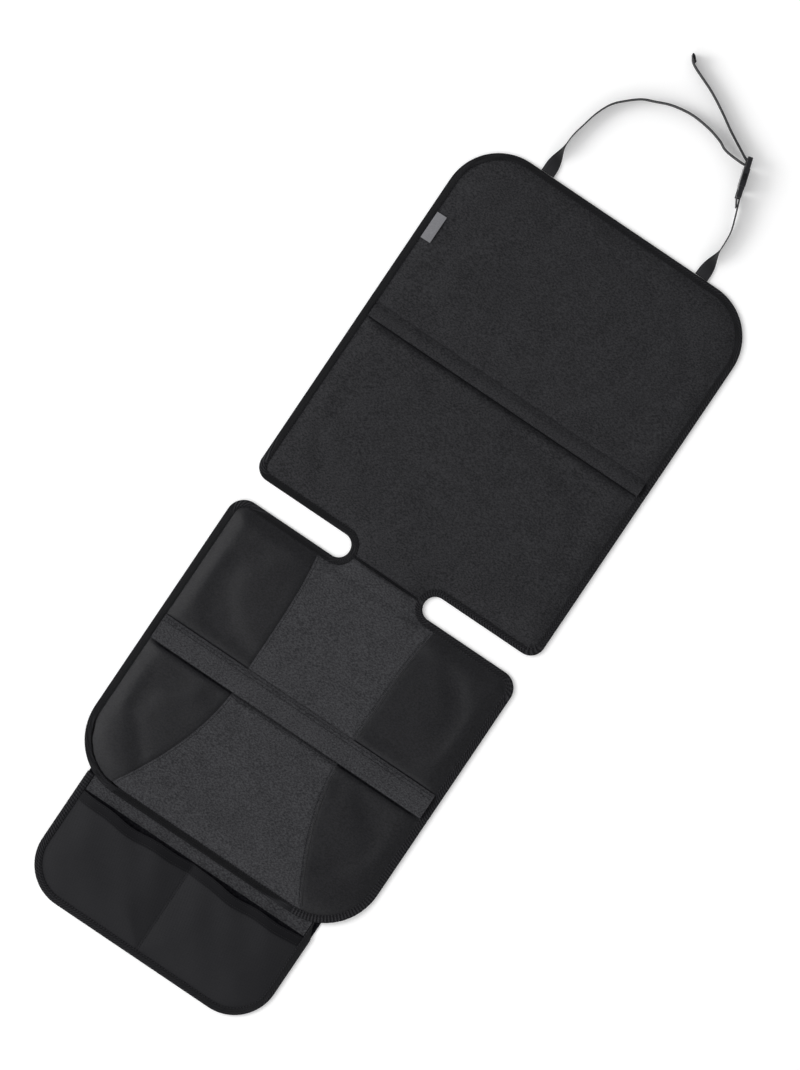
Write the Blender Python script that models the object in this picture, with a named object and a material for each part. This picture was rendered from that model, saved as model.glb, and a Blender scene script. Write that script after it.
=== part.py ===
"""Car seat protector mat, laid out flat: a padded back panel, a padded seat panel, a mesh pocket flap under the
seat's front edge, and a headrest strap with a side-release buckle.

Metres, +Z up. The mat lies on Z = 0. X is across it, with 0 on its middle line, and +Y runs towards the strap.
The origin is at the middle of the mat's length and width, on its underside.
"""

import math

import bmesh
import bpy
from mathutils import Vector
from mathutils.geometry import delaunay_2d_cdt

# Outline of the mat
PANEL_WIDTH = 0.470
BACK_LENGTH = 0.568
SLOT_HEIGHT = 0.035
SLOT_ROUNDNESS = 0.98
SEAT_LENGTH = 0.441
POCKET_DROP = 0.172
NECK_WIDTH = 0.126
POCKET_WIDTH = 0.386
BACK_TOP_RADIUS = 0.080
BACK_FOOT_RADIUS = 0.022
SEAT_REAR_RADIUS = 0.026
SEAT_FRONT_RADIUS = 0.087
POCKET_RADIUS = 0.066

# Cloth, foam and tape
GAP = 0.0003
COVER_THICK = 0.0008
BACKING_THICK = 0.0008
POCKET_CLOTH = 0.0008
MESH_THICK = 0.0006
TAPE_WIDTH = 0.0105
TAPE_THICK = 0.0008
TAPE_EDGE_SHARE = 0.7
CROWN = 0.0050
CROWN_REACH = 0.034
CROWN_SHARES = (0.0, 0.25, 0.55, 1.0)
RIM_REACH = 0.006
FOAM_SETBACK = 0.008
FOAM_CLEARANCE = 0.0014

# Fold lines across the panels
BACK_HEM_BELOW_TOP = 0.300
BACK_HEM_DEPTH = 0.023
HEM_THICK = 0.0019
FOLD_SWELL = 0.5
HEM_CREST = 0.7
SEAT_BAND_BELOW_TOP = 0.195
SEAT_BAND_DEPTH = 0.038
BAND_ROWS = (0.2, 0.5, 0.8)
TUCK = 0.008

# Seams between the seat's centre and its side patches
SEAM_HALF = 0.088
REAR_FLARE = 0.011
REAR_FLARE_POWER = 4
FRONT_FLARE = 0.070
FRONT_FLARE_POWER = 1.75
FRONT_FLARE_LIMIT = 1.2

# Pocket flap
POCKET_TUCK = 0.0195
UPPER_BAND_DEPTH = 0.017
MOUTH_GAP = 0.0065
HEM_TAPE_DEPTH = 0.015
HEM_TAPE_THICK = 0.0010
POCKET_BULGE = 0.0062
POCKET_BULGE_REACH = 0.050
DIVIDER_CLEAR = 0.004
LIFT_MARGIN = 0.004
LIFT_RAMP = 0.060

# Label tab
TAB_REACH = 0.0155
TAB_LENGTH = 0.042
TAB_BELOW_TOP = 0.128
TAB_THICK = 0.0006
TAB_ROWS = (0.1, 0.5, 0.9)

# Headrest strap and buckle
WEBBING_WIDTH = 0.020
WEBBING_THICK = 0.0012
TWIST_LENGTH = 0.050
BUCKLE_TOP = (0.0918, 0.7818)
BUCKLE_DIRECTION = (0.0172, -0.0566)
BUCKLE_RAIL = 0.003
WEBBING_SLACK = 0.001
BUCKLE_HALF_THICK = 0.0045
BAR_RADIUS = 0.0014
BAR_CLEARANCE = 0.0004
LADDER_LENGTH = 0.018
FIRST_BAR = 0.0025
SECOND_BAR = 0.009
SOCKET_LENGTH = 0.024
SOCKET_WALL = 0.002
SHOULDER_LENGTH = 0.0045
LOOP_LENGTH = 0.0115
PRONG_WIDTH = 0.005
WINDOW_LENGTH = 0.009
RAIL_SHARE = 0.8
SHOULDER_SHARE = 0.9
JOINT_DEPTH = 0.002
PRONG_DEPTH = 0.001
CUT_PAST_END = 0.005
SOFT_EDGE = 0.0008

# Fineness of the meshes
POINT_SPACING = 0.040
ROUTE_STEP = 0.010
POINT_MARGIN = 0.0025
ARC_STEP = math.radians(11)

# Where things lie along the mat
MAT_LENGTH = BACK_LENGTH + SLOT_HEIGHT + SEAT_LENGTH + POCKET_DROP
POCKET_END = -MAT_LENGTH / 2
SEAT_FRONT = POCKET_END + POCKET_DROP
SEAT_TOP = SEAT_FRONT + SEAT_LENGTH
BACK_FOOT = SEAT_TOP + SLOT_HEIGHT
BACK_TOP = BACK_FOOT + BACK_LENGTH
CREASE = SEAT_TOP + SLOT_HEIGHT / 2
HEM_EDGE = BACK_TOP - BACK_HEM_BELOW_TOP
HEM_STITCH = HEM_EDGE + BACK_HEM_DEPTH
BAND_TOP = SEAT_TOP - SEAT_BAND_BELOW_TOP
BAND_EDGE = BAND_TOP - SEAT_BAND_DEPTH
BAND_MIDDLE = (BAND_TOP + BAND_EDGE) / 2

# Heights of the layers at the mat's edge, from the floor
BACKING_RISE = TAPE_THICK + GAP
COVER_FLANGE = BACKING_RISE + BACKING_THICK + GAP
TAPE_HEIGHT = COVER_FLANGE + COVER_THICK + GAP + TAPE_THICK
HEM_LOW = COVER_FLANGE + COVER_THICK + GAP
POCKET_LIFT = 2 * POCKET_CLOTH + 2 * GAP


def seat_edge_rise(x):
    """How far the seat's front outline has curved back at a place beside its middle line."""
    past = max(abs(x) - (PANEL_WIDTH / 2 - SEAT_FRONT_RADIUS), 0.0)
    return SEAT_FRONT_RADIUS - math.sqrt(SEAT_FRONT_RADIUS**2 - past**2)


# Where the pocket's cloth ends under the seat, and where the seat comes down behind it
POCKET_TAPE_TOP = SEAT_FRONT + seat_edge_rise(POCKET_WIDTH / 2 - TAPE_WIDTH) - 2 * GAP
POCKET_TUCK_TOP = POCKET_TAPE_TOP + POCKET_TUCK
LIFT_START = POCKET_TUCK_TOP + LIFT_MARGIN
LIFT_END = LIFT_START + LIFT_RAMP


def smooth_step(value):
    value = min(max(value, 0.0), 1.0)
    return value * value * (3 - 2 * value)


def seat_lift(y):
    """How far the seat's front edge is held up by the pocket cloth tucked under it."""
    return POCKET_LIFT * smooth_step((LIFT_END - y) / LIFT_RAMP)


def rounded(corners, closed=True):
    """Points round a polygon of (x, y, radius) corners, each corner an arc."""
    points = []
    count = len(corners)
    for i, (x, y, radius) in enumerate(corners):
        if not closed and i in (0, count - 1):
            points.append(Vector((x, y)))
            continue
        corner = Vector((x, y))
        before = (Vector(corners[i - 1][:2]) - corner).normalized()
        after = (Vector(corners[(i + 1) % count][:2]) - corner).normalized()
        half = before.angle(after) / 2
        centre = corner + (before + after).normalized() * radius / math.sin(half)
        start = corner + before * radius / math.tan(half) - centre
        turn = (math.pi - 2 * half) * (1 if before.cross(after) < 0 else -1)
        steps = max(2, round(abs(turn) / ARC_STEP))
        for k in range(steps + 1):
            a = turn * k / steps
            c, s = math.cos(a), math.sin(a)
            points.append(centre + Vector((c * start.x - s * start.y, s * start.x + c * start.y)))
    return points


def mat_corners(inset):
    """Corners of the mat's outline, anticlockwise, moved inwards by inset."""
    side = PANEL_WIDTH / 2 - inset
    neck = NECK_WIDTH / 2 - inset
    slot_radius = SLOT_HEIGHT / 2 * SLOT_ROUNDNESS + inset
    right = [
        (side, SEAT_FRONT + inset, SEAT_FRONT_RADIUS - inset),
        (side, SEAT_TOP - inset, SEAT_REAR_RADIUS - inset),
        (neck, SEAT_TOP - inset, slot_radius),
        (neck, BACK_FOOT + inset, slot_radius),
        (side, BACK_FOOT + inset, BACK_FOOT_RADIUS - inset),
        (side, BACK_TOP - inset, BACK_TOP_RADIUS - inset),
    ]
    return right + [(-x, y, radius) for x, y, radius in reversed(right)]


def mat_outline(inset):
    return rounded(mat_corners(inset))


def pocket_corners(inset, top):
    """The pocket flap's sides and foot, from its left top round to its right top."""
    side = POCKET_WIDTH / 2 - inset
    foot = POCKET_END + inset
    radius = POCKET_RADIUS - inset
    return [(-side, top, 0), (-side, foot, radius), (side, foot, radius), (side, top, 0)]


def pocket_outline(inset, top):
    return rounded(pocket_corners(inset, top), closed=False)


def spaced(points, spacing=POINT_SPACING, closed=True):
    """The same outline with points added along its long stretches."""
    result = []
    count = len(points)
    for i in range(count if closed else count - 1):
        a, b = points[i], points[(i + 1) % count]
        steps = max(1, math.ceil((b - a).length / spacing))
        result += [a.lerp(b, k / steps) for k in range(steps)]
    return result if closed else result + [points[-1]]


def clipped(points, side_of):
    """The part of an outline where side_of(point) is positive."""
    result = []
    for i, b in enumerate(points):
        a = points[i - 1]
        at_a, at_b = side_of(a), side_of(b)
        if (at_a > 0) != (at_b > 0):
            low, high = (0.0, 1.0) if at_a > 0 else (1.0, 0.0)
            for _ in range(40):
                middle = (low + high) / 2
                if side_of(a.lerp(b, middle)) > 0:
                    low = middle
                else:
                    high = middle
            result.append(a.lerp(b, low))
        if at_b > 0:
            result.append(b)
    return result


def band_of(points, low, high):
    """The part of an outline between two lines across the mat."""
    points = clipped(points, lambda p: p.y - low)
    return clipped(points, lambda p: high - p.y)


def side_piece(points, half_width, sign):
    """The part of an outline beyond a curved seam, with the seam drawn in points."""
    return follow_seam(clipped(points, lambda p: sign * p.x - half_width(p.y) - GAP / 2), half_width, sign)


def centre_piece(points, half_width):
    """The part of an outline between the two curved seams."""
    for sign in (-1, 1):
        points = clipped(points, lambda p: half_width(p.y) - sign * p.x - GAP / 2)
        points = follow_seam(points, half_width, sign)
    return points


def follow_seam(points, half_width, sign):
    """Adds points along the one stretch that runs on the seam, so that it follows the seam's curve."""
    result = []
    for i, b in enumerate(points):
        a = points[i - 1]
        off_a = sign * a.x - half_width(a.y)
        off_b = sign * b.x - half_width(b.y)
        on_seam = abs(off_a) < GAP and abs(off_b) < GAP
        steps = math.ceil(abs(b.y - a.y) / (POINT_SPACING / 2)) if on_seam else 1
        for k in range(1, steps):
            y = a.y + (b.y - a.y) * k / steps
            result.append(Vector((sign * (half_width(y) + off_a), y)))
        result.append(b)
    return result


def rear_half(y):
    """Half width of the seat's centre piece behind the fold band."""
    along = min(max((y - BAND_TOP) / (SEAT_TOP - BAND_TOP), 0.0), 1.0)
    return SEAM_HALF + REAR_FLARE * along**REAR_FLARE_POWER


def front_half(y):
    """Half width of the seat's centre piece in front of the fold band."""
    along = min(max((BAND_EDGE - y) / (BAND_EDGE - SEAT_FRONT - TAPE_WIDTH), 0.0), FRONT_FLARE_LIMIT)
    return SEAM_HALF + FRONT_FLARE * along**FRONT_FLARE_POWER


def distance_to(point, line, closed=True):
    """Distance from a point to an outline."""
    best = 1.0
    count = len(line)
    for i in range(count if closed else count - 1):
        a, b = line[i], line[(i + 1) % count]
        run = b - a
        along = min(max((point - a).dot(run) / max(run.length_squared, 1e-12), 0.0), 1.0)
        best = min(best, (point - a - run * along).length)
    return best


def inside(point, outline):
    found = False
    for i, b in enumerate(outline):
        a = outline[i - 1]
        if (a.y > point.y) != (b.y > point.y):
            if point.x < a.x + (b.x - a.x) * (point.y - a.y) / (b.y - a.y):
                found = not found
    return found


def clear_run(a, b, outline):
    return all(inside(a.lerp(b, share), outline) for share in (0.1, 0.3, 0.5, 0.7, 0.9))


def split_at_tape(outline):
    """The outline with a point wherever it crosses the inner edge of the mat's tape."""
    result = []
    for i, b in enumerate(outline):
        a = outline[i - 1]
        from_inside, to_inside = inside(a, TAPE_INNER), inside(b, TAPE_INNER)
        if from_inside != to_inside:
            low, high = (0.0, 1.0) if from_inside else (1.0, 0.0)
            for _ in range(30):
                middle = (low + high) / 2
                low, high = (middle, high) if inside(a.lerp(b, middle), TAPE_INNER) else (low, middle)
            crossing = a.lerp(b, low)
            if min((crossing - a).length, (crossing - b).length) > GAP:
                result.append(crossing)
        result.append(b)
    return result


def split_across(outline, level):
    """The outline with a point wherever it crosses a line across the mat."""
    result = []
    for i, b in enumerate(outline):
        a = outline[i - 1]
        if (a.y - level) * (b.y - level) < 0 and min(abs(a.y - level), abs(b.y - level)) > GAP:
            result.append(a.lerp(b, (level - a.y) / (b.y - a.y)))
        result.append(b)
    return result


def vertex_between(a, b, outline):
    """The outline's own vertex that lies on the straight run from a to b, if there is one."""
    run = b - a
    for i, vertex in enumerate(outline):
        along = (vertex - a).dot(run) / max(run.length_squared, 1e-12)
        if 0 < along < 1 and (a + run * along - vertex).length < GAP:
            return i
    return None


def guides_inside(lines, outline):
    """The points of the guide lines that lie in the outline, and the pairs of points that stay joined.

    In a pair, outline points come first in the numbering, then the kept points. A guide line that leaves the
    outline at one of its vertices is joined to that vertex.
    """
    points = []
    links = []
    first = len(outline)
    for line in lines:
        kept = []
        for point in line:
            if not inside(point, outline) or distance_to(point, outline) < POINT_MARGIN:
                kept.append(None)
                continue
            near = [i for i, other in enumerate(points) if (point - other).length < POINT_MARGIN]
            if not near:
                points.append(point)
            kept.append(near[0] if near else len(points) - 1)
        for a, b in zip(kept, kept[1:]):
            if None not in (a, b) and a != b and clear_run(points[a], points[b], outline):
                links.append((first + a, first + b))
        for path, ends in ((line, kept), (line[::-1], kept[::-1])):
            last = None
            for point, here in zip(path, ends):
                if here is not None:
                    last = here
                elif last is not None:
                    vertex = vertex_between(points[last], point, outline)
                    if vertex is not None:
                        if clear_run(points[last], outline[vertex], outline):
                            links.append((first + last, vertex))
                        last = None
    return points, links


def rows_across(levels, half_width):
    """Guide lines across the mat, at the given places along it."""
    count = math.ceil(2 * half_width / POINT_SPACING)
    xs = [-half_width + 2 * half_width * k / count for k in range(count + 1)]
    return [[Vector((x, y)) for x in xs] for y in levels]


def triangles_in(outline, lines):
    """The outline filled with triangles along the guide lines: the inner points, and the index triples."""
    inner, links = guides_inside(lines, outline)
    count = len(outline)
    points = list(outline) + inner
    filled = delaunay_2d_cdt(points, links, [list(range(count))], 1, 1e-7)
    places, faces, sources = filled[0], filled[2], filled[3]
    index = []
    for place, source in zip(places, sources):
        if source:
            index.append(min(source))
        else:
            index.append(len(points))
            points.append(place)
    return points[count:], [[index[corner] for corner in face] for face in faces]


def material(name, colour, roughness, metallic=0.0):
    made = bpy.data.materials.get(name)
    if made is None:
        made = bpy.data.materials.new(name)
        made.use_nodes = True
        shader = made.node_tree.nodes["Principled BSDF"]
        shader.inputs["Base Color"].default_value = (*colour, 1.0)
        shader.inputs["Roughness"].default_value = roughness
        shader.inputs["Metallic"].default_value = metallic
    return made


def add_object(name, vertices, faces, finish):
    mesh = bpy.data.meshes.new(name)
    mesh.from_pydata(vertices, [], faces)
    shape = bmesh.new()
    shape.from_mesh(mesh)
    bmesh.ops.recalc_face_normals(shape, faces=shape.faces)
    shape.to_mesh(mesh)
    shape.free()
    mesh.shade_smooth()
    mesh.set_sharp_from_angle(angle=math.radians(35))
    mesh.materials.append(finish)
    obj = bpy.data.objects.new(name, mesh)
    bpy.context.scene.collection.objects.link(obj)
    return obj


def layer(name, outline, low, high, low_lines, high_lines, finish):
    """A layer of cloth or foam with the given outline, between two height functions of (x, y)."""
    outline = split_at_tape(spaced(outline))
    count = len(outline)
    vertices = []
    faces = []
    for height, lines, flip in ((low, low_lines, True), (high, high_lines, False)):
        start = len(vertices)
        inner, triangles = triangles_in(outline, lines)
        vertices += [(p.x, p.y, height(p.x, p.y)) for p in outline + inner]
        for face in triangles:
            corners = [start + corner for corner in face]
            faces.append(corners[::-1] if flip else corners)
        if flip:
            upper = len(vertices)
    for i in range(count):
        j = (i + 1) % count
        faces.append([i, j, upper + j, upper + i])
    return add_object(name, vertices, faces, finish)


# Height of the padded surface


def padded_height(x, y, pinches):
    """Rise of the cover above its flange: nothing at the tape and at the fold lines, CROWN away from them."""
    away = distance_to(Vector((x, y)), TAPE_INNER)
    for line in pinches:
        away = min(away, abs(y - line))
    if not inside(Vector((x, y)), TAPE_INNER):
        away = 0.0
    return CROWN * math.sin(min(away / CROWN_REACH, 1.0) * math.pi / 2)


def cover_low(pinches, flat_from=None, flat_to=None):
    """Height function of a cover's underside, flat in the stretch that is tucked under a fold."""

    def height(x, y):
        tucked = flat_from is not None and flat_from - GAP < y < flat_to + GAP
        rise = 0.0 if tucked else padded_height(x, y, pinches)
        return COVER_FLANGE + rise + seat_lift(y)

    return height


def raised(height, amount):
    return lambda x, y: height(x, y) + amount


def surface_lines(pinches):
    """Guide lines that follow the pad's rounded edge and its fold lines."""
    lines = [[*TAPE_INNER, TAPE_INNER[0]]]
    for share in CROWN_SHARES:
        reach = share * CROWN_REACH
        half = PANEL_WIDTH / 2 - TAPE_WIDTH - 2 * GAP - reach
        lines += rows_across([line + sign * reach for line in pinches for sign in (-1, 1)], half)
    for share in CROWN_SHARES[1:]:
        ring = inset_ring(TAPE_WIDTH + GAP + share * CROWN_REACH)
        lines.append([*ring, ring[0]])
    return lines


def inset_ring(inset):
    """Points at a given distance inside the mat's outline, at corners too tight for an arc as well."""
    ring = []
    outline = spaced(mat_outline(0))
    count = len(outline)
    for i, point in enumerate(outline):
        run = outline[(i + 1) % count] - outline[i - 1]
        inward = Vector((-run.y, run.x)).normalized()
        moved = point + inward * inset
        if inside(moved, outline) and distance_to(moved, outline) > 0.97 * inset:
            ring.append(moved)
    return ring


def make_cover(name, outline, pinches, finish, tucked=(None, None)):
    for line in pinches:
        outline = split_across(outline, line)
    low = cover_low(pinches, *tucked)
    lines = surface_lines(pinches)
    return layer(name, outline, low, raised(low, COVER_THICK), lines, lines, finish)


def lift_lines():
    """Guide lines across the seat where it is held up by the pocket's tucked cloth."""
    levels = [LIFT_START + LIFT_RAMP * k / 3 for k in range(4)]
    return rows_across(levels, PANEL_WIDTH / 2 - TAPE_WIDTH)


def make_foam(name, low_y, high_y, pinches):
    """A foam board between the backing and the cover, clear of both."""
    outline = band_of(spaced(mat_outline(TAPE_WIDTH + FOAM_SETBACK)), low_y, high_y)
    above = raised(cover_low(pinches), -FOAM_CLEARANCE)

    def low(x, y):
        return BACKING_THICK + GAP + seat_lift(y)

    return layer(name, outline, low, above, lift_lines(), surface_lines(pinches), FOAM)


def backing_height(x, y, rim):
    """A backing lies on the floor and rises at its rim into the edge tape."""
    point = Vector((x, y))
    away = distance_to(point, rim) if inside(point, rim) else 0.0
    return BACKING_RISE * (1 - min(max((away - GAP) / RIM_REACH, 0.0), 1.0))


def make_backing(name, low_y, high_y):
    outline = band_of(mat_outline(TAPE_THICK + GAP), low_y, high_y)

    def low(x, y):
        return backing_height(x, y, TAPE_INNER) + seat_lift(y)

    lines = [inset_ring(TAPE_WIDTH + 2 * GAP), inset_ring(TAPE_WIDTH + 2 * GAP + RIM_REACH)]
    lines = [[*ring, ring[0]] for ring in lines] + lift_lines()
    return layer(name, outline, low, raised(low, BACKING_THICK), lines, lines, BACKING)


def tape_section(width, height):
    """A tape folded over the edge, open inwards, as (distance inwards, height) points."""
    soft = TAPE_THICK * TAPE_EDGE_SHARE
    return [
        (soft, 0),
        (width, 0),
        (width, TAPE_THICK),
        (TAPE_THICK, TAPE_THICK),
        (TAPE_THICK, height - TAPE_THICK),
        (width, height - TAPE_THICK),
        (width, height),
        (soft, height),
        (0, height - soft),
        (0, soft),
    ]


def make_tape(name, line_at, section, lift, closed):
    """A folded tape along an outline: line_at(inset) gives the outline moved inwards, with matching points."""
    lines = [line_at(inward) for inward, _ in section]
    count = len(lines[0])
    width = len(section)
    vertices = []
    for i in range(count):
        for line, (_, z) in zip(lines, section):
            p = line[i]
            vertices.append((p.x, p.y, z + lift(p.y)))
    faces = []
    for i in range(count if closed else count - 1):
        j = (i + 1) % count
        for k in range(width):
            n = (k + 1) % width
            faces.append([i * width + k, i * width + n, j * width + n, j * width + k])
    if not closed:
        faces.append(list(range(width)))
        faces.append([(count - 1) * width + k for k in range(width)])
    obj = add_object(name, vertices, faces, TAPE)
    return obj


def matched_line(corners, inset_corners, closed=True):
    """The inset outline with as many points between its corners as the outer outline has."""
    outer = rounded(corners, closed)
    inner = rounded(inset_corners, closed)
    result = []
    count = len(outer)
    for i in range(count if closed else count - 1):
        steps = max(1, math.ceil((outer[(i + 1) % count] - outer[i]).length / POINT_SPACING))
        a, b = inner[i], inner[(i + 1) % count]
        result += [a.lerp(b, k / steps) for k in range(steps)]
    return result if closed else result + [inner[-1]]


# Back panel


def make_back():
    flange = mat_outline(TAPE_THICK + GAP)
    pinches = [HEM_STITCH, CREASE]
    make_upper_back_cover(flange)
    lower = band_of(flange, CREASE + GAP / 2, HEM_EDGE + TUCK)
    make_cover(
        "back_lower_cover", lower, [HEM_EDGE, CREASE], BLACK_CLOTH, (HEM_EDGE, HEM_EDGE + TUCK)
    )
    make_foam("back_upper_foam", HEM_STITCH + FOAM_SETBACK, BACK_TOP, pinches)
    make_foam("back_lower_foam", BACK_FOOT + FOAM_SETBACK, HEM_EDGE - FOAM_SETBACK, [HEM_EDGE, CREASE])
    make_backing("back_backing", CREASE + GAP / 2, BACK_TOP)


def make_upper_back_cover(flange):
    """The upper cover, with its folded hem lying over the top of the lower cover."""
    body = band_of(flange, HEM_STITCH, BACK_TOP)
    side = PANEL_WIDTH / 2 - TAPE_WIDTH - GAP
    left_foot = min(range(len(body)), key=lambda i: (body[i].y - HEM_STITCH) ** 2 + (body[i].x + side) ** 2)
    body = body[left_foot:] + body[:left_foot]
    free_from = HEM_EDGE + TUCK + 2 * GAP
    levels = (HEM_STITCH, free_from, HEM_EDGE)
    hem = [Vector((-side, y)) for y in levels] + [Vector((side, y)) for y in reversed(levels)]
    outline = hem + body[1:] + body[:1]

    full = cover_low([HEM_STITCH])
    seam_top = COVER_FLANGE + COVER_THICK

    def top(x, y):
        if y > HEM_STITCH - GAP:
            return full(x, y) + COVER_THICK
        below = (HEM_STITCH - y) / BACK_HEM_DEPTH
        swell = FOLD_SWELL * HEM_THICK * math.sin(below * math.pi)
        return seam_top + (HEM_LOW + HEM_THICK - seam_top) * smooth_step(below * 2) + swell

    def low(x, y):
        if y > HEM_STITCH - GAP:
            return full(x, y)
        return HEM_LOW - (HEM_LOW - COVER_FLANGE) * max(y - free_from, 0.0) / (HEM_STITCH - free_from)

    rows = rows_across([free_from, HEM_EDGE + HEM_CREST * BACK_HEM_DEPTH], side)
    lines = rows + surface_lines([HEM_STITCH])
    layer("back_upper_cover", outline, low, top, lines, lines, BLACK_CLOTH)


# Seat panel


def make_seat():
    flange = spaced(mat_outline(TAPE_THICK + GAP))
    rear = band_of(flange, BAND_MIDDLE + GAP / 2, CREASE - GAP / 2)
    front = band_of(flange, SEAT_FRONT, BAND_MIDDLE - GAP / 2)
    rear_pinches = [BAND_TOP, CREASE]
    front_pinches = [BAND_EDGE]
    under_band = (BAND_EDGE, BAND_TOP)
    for half, half_width, where, pinches in (
        (rear, rear_half, "rear", rear_pinches),
        (front, front_half, "front", front_pinches),
    ):
        centre = centre_piece(half, half_width)
        make_cover(f"seat_{where}_centre", centre, pinches, GREY_CLOTH, under_band)
        for sign, side in ((-1, "left"), (1, "right")):
            patch = side_piece(half, half_width, sign)
            make_cover(f"seat_{where}_{side}", patch, pinches, PATCH_CLOTH, under_band)
    make_fold_band()
    make_foam("seat_rear_foam", BAND_TOP + FOAM_SETBACK, SEAT_TOP - FOAM_SETBACK, rear_pinches)
    make_foam("seat_front_foam", SEAT_FRONT, BAND_EDGE - FOAM_SETBACK, front_pinches)
    make_backing("seat_backing", SEAT_FRONT, CREASE - GAP / 2)


def make_fold_band():
    """The folded band across the seat, over the ends of the rear and front covers."""
    side = PANEL_WIDTH / 2 - TAPE_WIDTH - GAP
    outline = [
        Vector((-side, BAND_EDGE)),
        Vector((side, BAND_EDGE)),
        Vector((side, BAND_TOP)),
        Vector((-side, BAND_TOP)),
    ]

    def high(x, y):
        swell = math.sin((BAND_TOP - y) / SEAT_BAND_DEPTH * math.pi)
        return HEM_LOW + HEM_THICK * (1 + FOLD_SWELL * swell)

    rows = rows_across([BAND_EDGE + SEAT_BAND_DEPTH * share for share in BAND_ROWS], side)
    layer("seat_fold_band", outline, lambda x, y: HEM_LOW, high, [], rows, GREY_CLOTH)


# Pocket flap


def mesh_gape(x, y, rim):
    """How far the mesh stands off the backing: nothing at its seams, most in the middle of each pocket."""
    point = Vector((x, y))
    away = min(distance_to(point, rim, closed=False), abs(x)) if inside(point, rim) else 0.0
    return math.sin(min(away / POCKET_BULGE_REACH, 1.0) * math.pi / 2)


def make_pocket():
    mouth = SEAT_FRONT - UPPER_BAND_DEPTH
    hem_top = mouth - MOUTH_GAP
    hem_foot = hem_top - HEM_TAPE_DEPTH
    mesh_flange = BACKING_RISE + POCKET_CLOTH + GAP
    edge = TAPE_THICK + GAP
    inner_rim = spaced(pocket_outline(TAPE_WIDTH + GAP, POCKET_TUCK_TOP + TAPE_WIDTH), closed=False)

    def backing_low(x, y):
        beyond = max(y - POCKET_TAPE_TOP - GAP, 0.0) / RIM_REACH
        return backing_height(x, y, inner_rim) * max(1 - beyond, 0.0)

    insets = (TAPE_WIDTH + 2 * GAP, TAPE_WIDTH + 2 * GAP + RIM_REACH)
    lines = [spaced(pocket_outline(inset, POCKET_TAPE_TOP), closed=False) for inset in insets]
    halves = [POCKET_WIDTH / 2 - inset for inset in insets]
    across = (-halves[0], -halves[1], halves[1], halves[0])
    past_tape_top = POCKET_TAPE_TOP + GAP
    lines += [[Vector((x, past_tape_top + reach)) for x in across] for reach in (0.0, RIM_REACH)]
    outline = pocket_outline(edge, past_tape_top)
    side = POCKET_WIDTH / 2 - edge
    above = (POCKET_TUCK_TOP, past_tape_top + RIM_REACH)
    left = [Vector((-side, y)) for y in above]
    right = [Vector((side, y)) for y in reversed(above)]
    outline = left + outline + right
    layer(
        "pocket_backing",
        outline,
        backing_low,
        raised(backing_low, POCKET_CLOTH),
        lines,
        lines,
        POCKET_LINING,
    )

    band_side = POCKET_WIDTH / 2 - TAPE_WIDTH - RIM_REACH - 3 * GAP
    band_low = POCKET_CLOTH + GAP
    band = [
        Vector((-band_side, mouth)),
        Vector((band_side, mouth)),
        Vector((band_side, POCKET_TUCK_TOP)),
        Vector((-band_side, POCKET_TUCK_TOP)),
    ]
    layer(
        "pocket_upper_band",
        band,
        lambda x, y: band_low,
        lambda x, y: band_low + POCKET_CLOTH,
        [],
        [],
        GREY_CLOTH,
    )

    def mesh_low(x, y):
        return mesh_flange + POCKET_BULGE * mesh_gape(x, y, inner_rim)

    reaches = [POCKET_BULGE_REACH * share for share in (0.0, 0.3, 0.6, 1.0)]
    columns = reaches + [POCKET_WIDTH / 2 - TAPE_WIDTH - GAP - reach for reach in reaches]
    mesh_top = hem_top - TUCK
    net = [spaced(pocket_outline(TAPE_WIDTH + GAP + reach, mesh_top), closed=False) for reach in reaches]
    for x in sorted({sign * reach for sign in (-1, 1) for reach in reaches[1:]}):
        net.append(spaced([Vector((x, mesh_top)), Vector((x, POCKET_END))], closed=False))
    net_edge = with_columns(pocket_outline(edge, mesh_top), columns)

    hem_low = raised(mesh_low, MESH_THICK + GAP)
    hem_side = POCKET_WIDTH / 2 - TAPE_WIDTH - GAP
    hem = [
        Vector((-hem_side, hem_foot)),
        Vector((hem_side, hem_foot)),
        Vector((hem_side, hem_top)),
        Vector((-hem_side, hem_top)),
    ]
    hem = with_columns(hem, columns)
    for sign, side in ((-1, "left"), (1, "right")):
        front = pocket_half(net_edge, sign, GAP / 2)
        lines = [pocket_half(line, sign, DIVIDER_CLEAR) for line in net]
        lines = [line for line in lines if len(line) > 1]
        layer(f"pocket_mesh_{side}", front, mesh_low, raised(mesh_low, MESH_THICK), lines, lines, MESH_CLOTH)
        tape = pocket_half(hem, sign, GAP / 2)
        layer(f"pocket_hem_tape_{side}", tape, hem_low, raised(hem_low, HEM_TAPE_THICK), [], [], TAPE)

    section = tape_section(TAPE_WIDTH, mesh_flange + MESH_THICK + GAP + TAPE_THICK)
    outer = pocket_corners(0, POCKET_TAPE_TOP)
    make_tape(
        "pocket_edge_tape",
        lambda inset: matched_line(outer, pocket_corners(inset, POCKET_TAPE_TOP), closed=False),
        section,
        lambda y: 0.0,
        closed=False,
    )


def pocket_half(outline, sign, clear):
    """The part of an outline on one side of the seam that divides the pockets."""
    return clipped(outline, lambda p: sign * p.x - clear)


def with_columns(outline, columns):
    """The outline with points where the given columns cross its long straight stretches."""
    result = []
    for i, b in enumerate(outline):
        a = outline[i - 1]
        crossings = []
        if abs(a.y - b.y) < 1e-9:
            for x in sorted({sign * c for c in columns for sign in (-1, 1)}):
                along = (x - a.x) / (b.x - a.x)
                if 0.001 < along < 0.999:
                    crossings.append(along)
        result += [a.lerp(b, along) for along in sorted(crossings)]
        result.append(b)
    return result


# Label tab


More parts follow.
